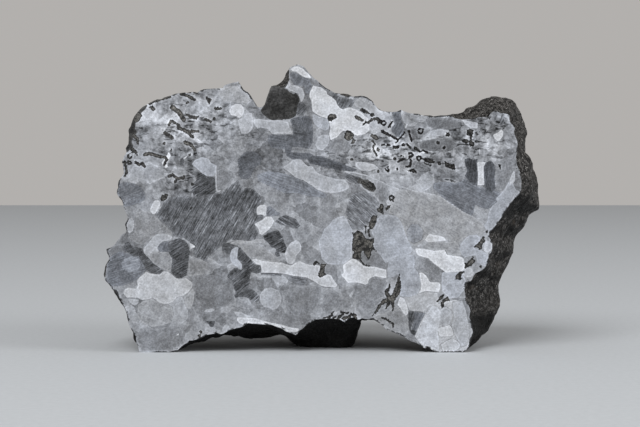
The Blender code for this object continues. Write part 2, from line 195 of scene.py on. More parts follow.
# Thumbprints that the hot air scooped out of the skin, each x, depth behind the face, z, radius and
# how deep. Where two meet, a ridge is left. Then lumps, with how high they stand.
THUMBPRINTS = (
    (-38, 27, 46, 11, 3.0),
    (-25, 35, 49, 11, 3.2),
    (-32, 34, 30, 12, 3.4),
    (-15, 39, 37, 11, 2.8),
    (-14, 36, 20, 11, 3.0),
    (3, 42, 40, 10, 2.6),
    (4, 39, 24, 9, 2.4),
    (9, 34, 53, 11, 3.2),
    (21, 38, 37, 11, 3.0),
    (32, 32, 49, 9, 2.8),
    (38, 31, 29, 11, 3.4),
    (21, 35, 20, 10, 3.0),
    (48, 25, 40, 8, 2.2),
    (55, 14, 49, 7, 1.5),
    (49, 17, 18, 8, 1.6),
    (29, 19, 60, 9, 2.2),
    (-3, 22, 64, 8, 2.0),
    (-26, 20, 63, 9, 2.2),
    (-44, 19, 56, 8, 2.0),
    (-51, 15, 36, 8, 1.8),
    (-46, 22, 15, 9, 2.4),
    (-22, 31, 7, 9, 1.8),
    (30, 28, 9, 9, 1.8),
    (-40, 31, 33, 8, 1.8),
)
LUMPS = (
    (-22, 37, 30, 6, 1.2),
    (-8, 37, 49, 6, 1.4),
    (12, 40, 30, 6, 1.2),
    (28, 34, 40, 6, 1.2),
    (45, 18, 61, 6, 0.8),
    (54, 15, 41, 7, 0.6),
    (47, 22, 27, 5, 0.8),
    (-34, 28, 12, 6, 1.0),
    (-47, 21, 46, 6, 0.8),
)

FULL_BACK = 6.0  # how far behind the face thumbprints and lumps reach their full depth

AROUND = 620  # points round each ring of the skin
ROWS = 152  # rings from the face's rim to the tip of the back
CROWDING = 1.3  # over 1, the rings lie closer together near the rim
RIM_REACH = 7.0  # how far back the rim's corners still show
JAG_REACH = 1.2  # how far back its finest jags show
BLUR = 2  # jags are what is lost when each point takes the mean of this many on either side
FLAT = 0.15  # a foot's points lower than this were worn down to the floor
LIP = 0.12  # the skin starts this far behind the sawn face, whose edge is bright
CAP = 0.5  # how far behind the face the skin is closed
CAP_SHARE = 0.985  # how far out the cap's edge lies, as a share of the rim
CAP_ROOM = (0.01, 0.03)  # how high in the UV map the cap ends and the skin itself begins
# Painted shade: the skin's colour is darkened to black where it faces down or lies low, where shade falls
# under the stone.
SHADE_FACING_DOWN = (0.1, 0.6)  # the skin is black where it faces down more than this, from none to all
SHADE_LYING_LOW = (8.0, 11.0)  # and where it is lower than this, from all to none

# Waves all over the skin. Each layer has a wavelength, a height, a seed, and how far behind the face it
# reaches its full height.
WAVES = (
    (16, 0.7, 3, 6.0),
    (7, 0.35, 4, 6.0),
    (3.4, 0.15, 5, 4.0),
    (1.9, 0.08, 6, 2.5),
    (1.1, 0.05, 7, 1.5),
)
WAVE_COUNT = 20
PIT_SEED = 11
PIT_COUNT = 700
PIT_RADIUS = (0.5, 1.9)
PIT_DEPTH = 0.13  # as a share of the pit's radius


def through(knots, values, at):
    """A smooth curve through the values. With s from 0 to 1 along a span h wide, and m and n the slopes
    at its ends, it is a + (b - a)(3s^2 - 2s^3) + h m s(1 - s)^2 - h n s^2(1 - s). A knot's slope is the
    mean of the straight slopes on either side, weighted towards the shorter span."""
    span = np.diff(knots)
    wide = span.reshape(-1, *[1] * (values.ndim - 1))
    slope = np.diff(values, axis=0) / wide
    lean = (slope[:-1] * wide[1:] + slope[1:] * wide[:-1]) / (wide[:-1] + wide[1:])
    k = np.clip(np.searchsorted(knots, at, side="right") - 1, 1, len(knots) - 3)
    s = ((at - knots[k]) / span[k]).reshape(-1, *[1] * (values.ndim - 1))
    h = wide[k]
    rise = s * s * (3 - 2 * s)
    return (
        values[k] * (1 - rise)
        + values[k + 1] * rise
        + lean[k - 1] * h * s * (1 - s) ** 2
        - lean[k] * h * s * s * (1 - s)
    )


def face_rim():
    """The rim's points, closed: the first one again at the end."""
    rim = [point for stretch in STRETCHES for point in stretch[0]]
    return np.array(rim + rim[:1], float)


def way_along(points):
    """Each point's distance from the first one, along the straight lines between them."""
    step = np.linalg.norm(np.diff(points, axis=0), axis=1)
    return np.concatenate([[0], np.cumsum(step)])


def on_line(at, way, points):
    """x and z at distances along a line of points, straight from point to point."""
    return np.stack([np.interp(at, way, points[:, 0]), np.interp(at, way, points[:, 1])], axis=-1)


def blurred(ring, reach):
    """A ring of values, each the mean of its neighbours up to reach places away on either side."""
    return sum(np.roll(ring, step, axis=0) for step in range(-reach, reach + 1)) / (2 * reach + 1)


def skin_rings():
    """Rings of x, depth and z from the rim to the tip, on a grid of distance back by distance round, and
    each ring's distance back. Going back, a curve runs through a stretch's start on the rim, on each slice
    and at the tip. Going round, a curve runs through all stretches' starts. The rim's own corners are
    added, times exp(-(back / reach)^2), with a shorter reach for what a blur takes out of them."""
    rim = face_rim()
    along = way_along(rim)
    first = np.cumsum([0] + [len(stretch[0]) for stretch in STRETCHES])[:-1]
    depth = np.array([0, *SLICES, DEPTH])
    ribs = np.array(
        [[rim[n], *stretch[1:], TIP] for n, stretch in zip(first, STRETCHES)], float
    ).transpose(1, 0, 2)
    ribs = np.insert(ribs, 1, depth[:, None], axis=2)
    # one more row at each end gives the curves their slopes there; the last one makes the back round
    before = 2 * ribs[:1] - ribs[1:2]
    beyond = 2 * ribs[-1:] - ribs[-2:-1]
    beyond[..., 1] = SLICES[-1]
    ribs = np.concatenate([before, ribs, beyond])
    reach = np.linalg.norm(np.diff(ribs, axis=0), axis=2).mean(axis=1)
    back = np.concatenate([[0], np.cumsum(reach)]) - reach[0]
    at = back[-2] * np.linspace(0, 1, ROWS) ** CROWDING
    ribs = through(back, ribs, at)

    length = along[-1]
    starts = along[first]
    knots = np.concatenate([starts[-2:] - length, starts, starts[:2] + length])
    ribs = np.concatenate([ribs[:, -2:], ribs, ribs[:, :2]], axis=1).transpose(1, 0, 2)
    places = length * np.arange(AROUND) / AROUND
    rings = through(knots, ribs, places).transpose(1, 0, 2)
    corners = on_line(places, along, rim) - rings[0][:, ::2]
    broad = blurred(corners, BLUR)
    rings[:, :, ::2] += np.exp(-((at / RIM_REACH) ** 2))[:, None, None] * broad
    rings[:, :, ::2] += np.exp(-((at / JAG_REACH) ** 2))[:, None, None] * (corners - broad)
    return rings, at


def outward(rings):
    """The step round crossed with the step back, which is the normal times the area. The tip's looks
    straight back."""
    around = np.roll(rings, -1, axis=1) - np.roll(rings, 1, axis=1)
    normal = np.cross(around, np.gradient(rings, axis=0))
    normal[-1] = (0, 1e-9, 0)
    return normal


def waves(points, wavelength, seed):
    """A smooth random height, mostly between -1.5 and 1.5: the sum of n plane waves sin(k.p + phase) in
    random directions, over the root of n."""
    draw = np.random.default_rng(seed)
    way = draw.normal(size=(WAVE_COUNT, 3))
    way /= np.linalg.norm(way, axis=1, keepdims=True)
    way *= 2 * np.pi / (wavelength * draw.uniform(0.7, 1.5, (WAVE_COUNT, 1)))
    phase = draw.uniform(0, 2 * np.pi, WAVE_COUNT)
    return np.sin(points @ way.T + phase).sum(axis=-1) / np.sqrt(WAVE_COUNT)


def weathered(rings):
    """The rings moved along their normals. With off the distance from its middle over its radius, a
    thumbprint goes depth (1 - off^2) inwards and a lump rise (1 - off^2)^2 outwards. Where two meet, the
    larger counts. The waves are added, and small random pits shaped like thumbprints."""
    normal = outward(rings)
    area = np.linalg.norm(normal, axis=2)
    normal /= np.maximum(area, 1e-12)[..., None]
    deep = rings[..., 1]
    sunk = np.zeros(area.shape)
    for x, y, z, radius, depth in THUMBPRINTS:
        off = np.linalg.norm(rings - (x, y, z), axis=2) / radius
        sunk = np.minimum(sunk, -depth * (1 - off * off))
    lump = np.zeros(area.shape)
    for x, y, z, radius, rise in LUMPS:
        off = np.linalg.norm(rings - (x, y, z), axis=2) / radius
        lump = np.maximum(lump, rise * np.clip(1 - off * off, 0, 1) ** 2)
    height = (sunk + lump) * np.clip(deep / FULL_BACK, 0, 1)
    for wavelength, rise, seed, start in WAVES:
        height += rise * waves(rings, wavelength, seed) * np.clip(deep / start, 0, 1)

    draw = np.random.default_rng(PIT_SEED)
    where = draw.choice(area.size, PIT_COUNT, p=area.ravel() / area.sum())
    radii = draw.uniform(*PIT_RADIUS, PIT_COUNT) ** 2 / PIT_RADIUS[1]
    pits = np.zeros(area.shape)
    for centre, radius in zip(rings.reshape(-1, 3)[where], radii):
        off = np.linalg.norm(rings - centre, axis=2) / radius
        pits = np.minimum(pits, -PIT_DEPTH * radius * (1 - off * off))
    height += pits * np.clip(deep, 0, 1)
    return rings + height[..., None] * normal


def framed(points):
    """Points of x, depth and z in millimetres, moved to the frame in metres and kept in its box."""
    return np.clip((points - (*MIDDLE, 0)) * MM, *CAD_BOX)


def mesh_from(name, places, quads, triangles, quad_uv, triangle_uv):
    """A smooth mesh of quads and triangles, with a UV map that gives each face its own room."""
    mesh = bpy.data.meshes.new(name)
    mesh.from_pydata(places.tolist(), [], quads.tolist() + triangles.tolist())
    room = mesh.uv_layers.new(name="OFBake")
    room.data.foreach_set("uv", np.concatenate([quad_uv.ravel(), triangle_uv.ravel()]).astype("f4"))
    mesh.shade_smooth()
    return mesh


def drawn_together(count, pole, ring, forward):
    """Triangles that join a ring of count points, whose first one is number ring, to one pole."""
    a = np.arange(count)
    b = (a + 1) % count
    pole = np.full(count, pole)
    return np.stack([pole, ring + a, ring + b] if forward else [pole, ring + b, ring + a], axis=1)


def painted_shade_of(rings):
    """How much painted shade each point gets, from 0 to 1: how far the skin faces down there, between the two
    values for facing down, or how low it lies, between the two for lying low, whichever is more. Where it is
    1 the skin is painted black, standing in for the shade under the stone."""
    normal = outward(rings)
    down = -normal[..., 2] / np.maximum(np.linalg.norm(normal, axis=2), 1e-12)
    shaded_by_facing = np.clip((down - SHADE_FACING_DOWN[0]) / (SHADE_FACING_DOWN[1] - SHADE_FACING_DOWN[0]), 0, 1)
    shaded_by_lying_low = np.clip((SHADE_LYING_LOW[1] - rings[..., 2]) / (SHADE_LYING_LOW[1] - SHADE_LYING_LOW[0]), 0, 1)
    return np.maximum(shaded_by_facing, shaded_by_lying_low)


def skin_mesh(name):
    """The rings bridged to each other, closed at the tip and, just behind the sawn face, by a cap: the
    rim drawn in a little, and from there drawn together in one point."""
    rings, at = skin_rings()
    rings = weathered(rings)
    # how much painted shade each point gets: black for the shade under the stone
    under = painted_shade_of(rings)
    rings[..., 2] = np.where(rings[..., 2] < FLAT, 0, rings[..., 2])
    rings[..., 1] = np.maximum(rings[..., 1], LIP)
    middle = np.array([TIP[0], CAP, TIP[1]])
    inner = middle + (rings[0] - middle) * CAP_SHARE
    inner[:, 1] = CAP
    tip = rings[-1].mean(axis=0)
    rings = np.concatenate([inner[None], rings[:-1]])
    rows = len(rings)
    places = framed(np.concatenate([rings.reshape(-1, 3), [middle, tip]]))

    row = np.arange(rows - 1)[:, None] * AROUND
    a = np.arange(AROUND)[None]
    b = (a + 1) % AROUND
    quads = np.stack(np.broadcast_arrays(row + a, row + b, row + AROUND + b, row + AROUND + a), axis=-1)
    u = np.broadcast_to(a / AROUND, quads.shape[:2])
    v = np.concatenate([CAP_ROOM, CAP_ROOM[1] + (1 - CAP_ROOM[1]) * at[1:-1] / at[-1]])
    low = np.broadcast_to(v[:-1, None], u.shape)
    high = np.broadcast_to(v[1:, None], u.shape)
    step = 1 / AROUND
    quad_uv = np.stack([u, low, u + step, low, u + step, high, u, high], axis=-1)
    front = drawn_together(AROUND, rows * AROUND, 0, False)
    back = drawn_together(AROUND, rows * AROUND + 1, (rows - 1) * AROUND, True)
    u = a[0] / AROUND
    bottom = np.zeros(AROUND)
    top = np.ones(AROUND)
    front_uv = np.stack([u + step / 2, bottom, u + step, v[0] * top, u, v[0] * top], axis=-1)
    back_uv = np.stack([u + step / 2, top, u, v[-1] * top, u + step, v[-1] * top], axis=-1)
    mesh = mesh_from(
        name,
        places,
        quads.reshape(-1, 4),
        np.concatenate([front, back]),
        quad_uv,
        np.concatenate([front_uv, back_uv]),
    )
    # painted shade: the cap and the point behind the face get all of it, the tip none
    under = np.concatenate([np.ones(AROUND), under[:-1].ravel(), [1, 0]])
    mesh.attributes.new("under", "FLOAT", "POINT").data.foreach_set("value", under.astype("f4"))
    return mesh


def add(tree, kind, inputs, **settings):
    """One shader node: settings are its properties, and inputs are values or sockets linked to it."""
    node = tree.nodes.new(kind)
    for key, value in settings.items():
        setattr(node, key, value)
    for key, value in inputs.items():
        if isinstance(value, bpy.types.NodeSocket):
            tree.links.new(value, node.inputs[key])
        else:
            node.inputs[key].default_value = value
    return node


def noise(tree, place, size, detail=4.0, roughness=0.55):
    """Clouds about size millimetres across, from 0 to 1 with a mean of 0.5."""
    inputs = {"Vector": place, "Scale": 1 / (size * MM), "Detail": detail, "Roughness": roughness}
    return add(tree, "ShaderNodeTexNoise", inputs).outputs["Fac"]


def ramp(tree, value, low, high, start=0.0, end=1.0):
    """start below low, end above high, and a smooth step between them."""
    inputs = {"Value": value, "From Min": low, "From Max": high, "To Min": start, "To Max": end}
    return add(tree, "ShaderNodeMapRange", inputs, interpolation_type="SMOOTHSTEP").outputs[0]


def sums(tree, operation, a, b=0.0, c=0.0):
    """A value worked out from others by one of the shader's sums."""
    return add(tree, "ShaderNodeMath", {0: a, 1: b, 2: c}, operation=operation).outputs[0]


def scaled(tree, amount, value, shift=0.0):
    """amount times value, plus shift."""
    return sums(tree, "MULTIPLY_ADD", value, amount, shift)


def times(tree, a, b):
    """a times b."""
    return sums(tree, "MULTIPLY", a, b)


def read(tree, name):
    """The mesh's own values of this name, one at each vertex."""
    return add(tree, "ShaderNodeAttribute", {}, attribute_name=name).outputs["Fac"]


def blend(tree, amount, a, b):
    """Colour a where amount is 0, colour b where it is 1."""
    return add(tree, "ShaderNodeMix", {0: amount, 6: a, 7: b}, data_type="RGBA").outputs[2]


def tone(level, warm=0.0):
    """A colour from its grey level on a screen, 0 to 255. Warm moves red up and blue down."""
    screen = np.clip(np.array([level + warm, level, level - warm]) / 255, 0, 1)
    linear = np.where(screen < 0.04045, screen / 12.92, ((screen + 0.055) / 1.055) ** 2.4)
    return (*linear.tolist(), 1)


def new_material(name):
    """A material with its node tree, its shader and, in metres, the place on the piece."""
    material = bpy.data.materials.new(name)
    material.use_nodes = True
    tree = material.node_tree
    place = add(tree, "ShaderNodeTexCoord", {}).outputs["Object"]
    return material, tree, tree.nodes["Principled BSDF"], place


def skin_material(name):
    """Brown-black rust, browner in broad patches, dusted with light specks that are painted glints, grainy to
    the touch, and painted black as shade underneath and low down, where the attribute "under" is 1."""
    material, tree, shader, place = new_material(name)

    patches = ramp(tree, noise(tree, place, 7.0), 0.42, 0.62)
    color = blend(tree, patches, tone(32, 1), tone(47, 2))
    color = blend(tree, ramp(tree, noise(tree, place, 0.9, 6, 0.75), 0.47, 0.58), color, tone(102, 2))
    rust = ramp(tree, noise(tree, place, 5.0, 5), 0.6, 0.72, 0.0, 0.5)
    color = blend(tree, rust, color, tone(76, 10))
    pocket = ramp(tree, noise(tree, place, 0.5, 3, 0.7), 0.38, 0.46, 0.9, 0.0)
    color = blend(tree, pocket, color, tone(18, 1))
    # Painted glints: small light specks in patches over the skin, standing in for glints of light on its
    # rough rust.
    chosen = ramp(tree, noise(tree, place, 3.2, 4, 0.6), 0.42, 0.58, 0.15, 1.0)
    painted_glints = times(tree, ramp(tree, noise(tree, place, 0.5, 3, 0.65), 0.58, 0.64), chosen)
    color = blend(tree, painted_glints, color, tone(168, 2))
    # Painted shade: the skin is blended to black where it faces down or lies low, standing in for the shade
    # under the stone.
    under = scaled(tree, 0.5, noise(tree, place, 2.0, 5), read(tree, "under"))
    under = ramp(tree, under, 0.5, 1.2, 0.0, 0.92)
    color = blend(tree, under, color, tone(12, 0))
    tree.links.new(color, shader.inputs["Base Color"])
    shader.inputs["Metallic"].default_value = 0.15
    shader.inputs["Specular IOR Level"].default_value = 0.25
    tree.links.new(ramp(tree, noise(tree, place, 1.2, 5), 0.3, 0.7, 0.42, 0.75), shader.inputs["Roughness"])

    grain = scaled(tree, 0.5, noise(tree, place, 0.45, 3, 0.6), noise(tree, place, 1.6, 5, 0.65))
    bump = add(tree, "ShaderNodeBump", {"Height": grain, "Distance": 2.6 * MM, "Strength": 1.0})
    tree.links.new(bump.outputs["Normal"], shader.inputs["Normal"])
    return material


def new_object(name, data):
    """An object of the scene that shows a mesh, a lamp or a camera."""
    made = bpy.data.objects.new(name, data)
    bpy.context.collection.objects.link(made)
    return made


def piece(name, mesh, material):
    """Makes the mesh an object that moves with the stone and stands for it."""
    mesh.materials.append(material)
    made = new_object(name, mesh)
    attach(made, "root")
    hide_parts("meteorite")


piece("natural_skin", skin_mesh("natural_skin"), skin_material("weathered skin"))

# The cut face
# The same iron, sawn flat, ground, polished and etched with acid, which brings out its crystals: each
# grain reflects in its own grey. Dark inclusions of graphite and iron phosphide lie between them.

COLUMNS = 404  # cells across the face
LEVELS = 222  # cells up the face
SIDES = ((-45.3, 0.0), (-46.0, 59.6), (46.8, 59.7), (36.1, 0.0))  # the rim's points where its sides meet
EVEN = 0.85  # 1 spaces a side's points evenly across, 0 evenly along the rim
SMOOTHING = 150  # rounds of smoothing that a side gets before the grid is spread between the sides
JAG_CELLS = 9.0  # how many cells inwards a side's own jags fade away
EDGE = 0.3  # thickness of the thin lid that the face is
LID_SHARE = 0.992  # how far out the lid's back reaches, as a share of the rim
LID_ROOM = 0.02  # the share of the UV map, at its left and bottom, that is kept clear of the face


def side_points(start, end, count, axis):
    """count + 1 points of the rim from one of its points to another, clockwise. The place along the side
    is EVEN times the share of the way across, plus 1 - EVEN times the share of the way along."""
    rim = face_rim()
    one = np.flatnonzero((rim == start).all(axis=1))[0]
    two = np.flatnonzero((rim == end).all(axis=1))[0]
    chosen = np.arange(one, two + 1 if two > one else two + len(rim))
    points = rim[chosen % (len(rim) - 1)]
    way = way_along(points)
    across = np.maximum.accumulate(np.abs(points[:, axis] - points[0, axis]))
    share = EVEN * across / across[-1] + (1 - EVEN) * way / way[-1]
    return on_line(np.linspace(0, 1, count + 1), share, points)


def smoothed(side):
    """A side's points, each replaced by (one neighbour + twice itself + the other) / 4, many times."""
    side = side.copy()
    for _ in range(SMOOTHING):
        side[1:-1] = (side[:-2] + 2 * side[1:-1] + side[2:]) / 4
    return side


def face_grid():
    """x and z on a grid of u across and v up. With B, T, L and R the face's four sides smoothed, a point
    is (1 - v)B(u) + vT(u) + (1 - u)L(v) + uR(v) minus the four corners' bilinear mix. What the smoothing
    took out of a side is added back times exp(-(rows or columns off / JAG_CELLS)^2)."""
    left = side_points(SIDES[0], SIDES[1], LEVELS, 1)
    top = side_points(SIDES[1], SIDES[2], COLUMNS, 0)
    right = side_points(SIDES[2], SIDES[3], LEVELS, 1)[::-1]
    bottom = side_points(SIDES[3], SIDES[0], COLUMNS, 0)[::-1]
    u = np.linspace(0, 1, COLUMNS + 1)[None, :, None]
    v = np.linspace(0, 1, LEVELS + 1)[:, None, None]
    corners = (1 - v) * ((1 - u) * bottom[0] + u * bottom[-1]) + v * ((1 - u) * top[0] + u * top[-1])
    soft = [smoothed(side) for side in (bottom, top, left, right)]
    grid = (1 - v) * soft[0] + v * soft[1] + (1 - u) * soft[2][:, None] + u * soft[3][:, None] - corners
    for side, plain, share, cells in zip(
        (bottom, top, left[:, None], right[:, None]),
        (soft[0], soft[1], soft[2][:, None], soft[3][:, None]),
        (v, 1 - v, u, 1 - u),
        (LEVELS, LEVELS, COLUMNS, COLUMNS),
    ):
        grid = grid + np.exp(-((share * cells / JAG_CELLS) ** 2)) * (side - plain)
    return grid


def distance_to(points, corners):
    """Each point's distance to the nearest side of a closed outline, less than 0 inside it, where a line
    to the right crosses an odd number of sides."""
    side = np.roll(corners, -1, axis=0) - corners
    off = points[:, None] - corners
    share = np.clip((off * side).sum(-1) / np.maximum((side * side).sum(-1), 1e-12), 0, 1)
    near = np.linalg.norm(off - share[..., None] * side, axis=-1).min(axis=1)
    rise = np.where(side[:, 1] == 0, 1, side[:, 1])
    spans = (off[..., 1] >= 0) & (off[..., 1] < side[:, 1]) | (off[..., 1] < 0) & (off[..., 1] >= side[:, 1])
    right = off[..., 0] < off[..., 1] / rise * side[:, 0]
    return np.where((spans & right).sum(axis=1) % 2, -near, near)


def distance_to_stroke(points, stroke, start, end):
    """Each point's distance to a line of points whose half width goes from start to end, less than 0
    inside it."""
    side = np.diff(stroke, axis=0)
    long = np.linalg.norm(side, axis=1)
    way = way_along(stroke)
    off = points[:, None] - stroke[:-1]
    share = np.clip((off * side).sum(-1) / (long * long), 0, 1)
    half = start + (end - start) * (way[:-1] + share * long) / way[-1]
    return (np.linalg.norm(off - share[..., None] * side, axis=-1) - half).min(axis=1)


def around(points, corners, margin):
    """The numbers of the points that lie within a margin of the corners' box."""
    low = corners.min(axis=0) - margin
    high = corners.max(axis=0) + margin
    return np.flatnonzero(((points > low) & (points < high)).all(axis=1))


FAR = 1.2  # distances to grains, inclusions and the rim are kept up to this
SPILL = 0.12  # how far past its outline a grain's own level and angle reach
RIM_CELLS = 8  # how many cells inwards the distance to the rim is measured

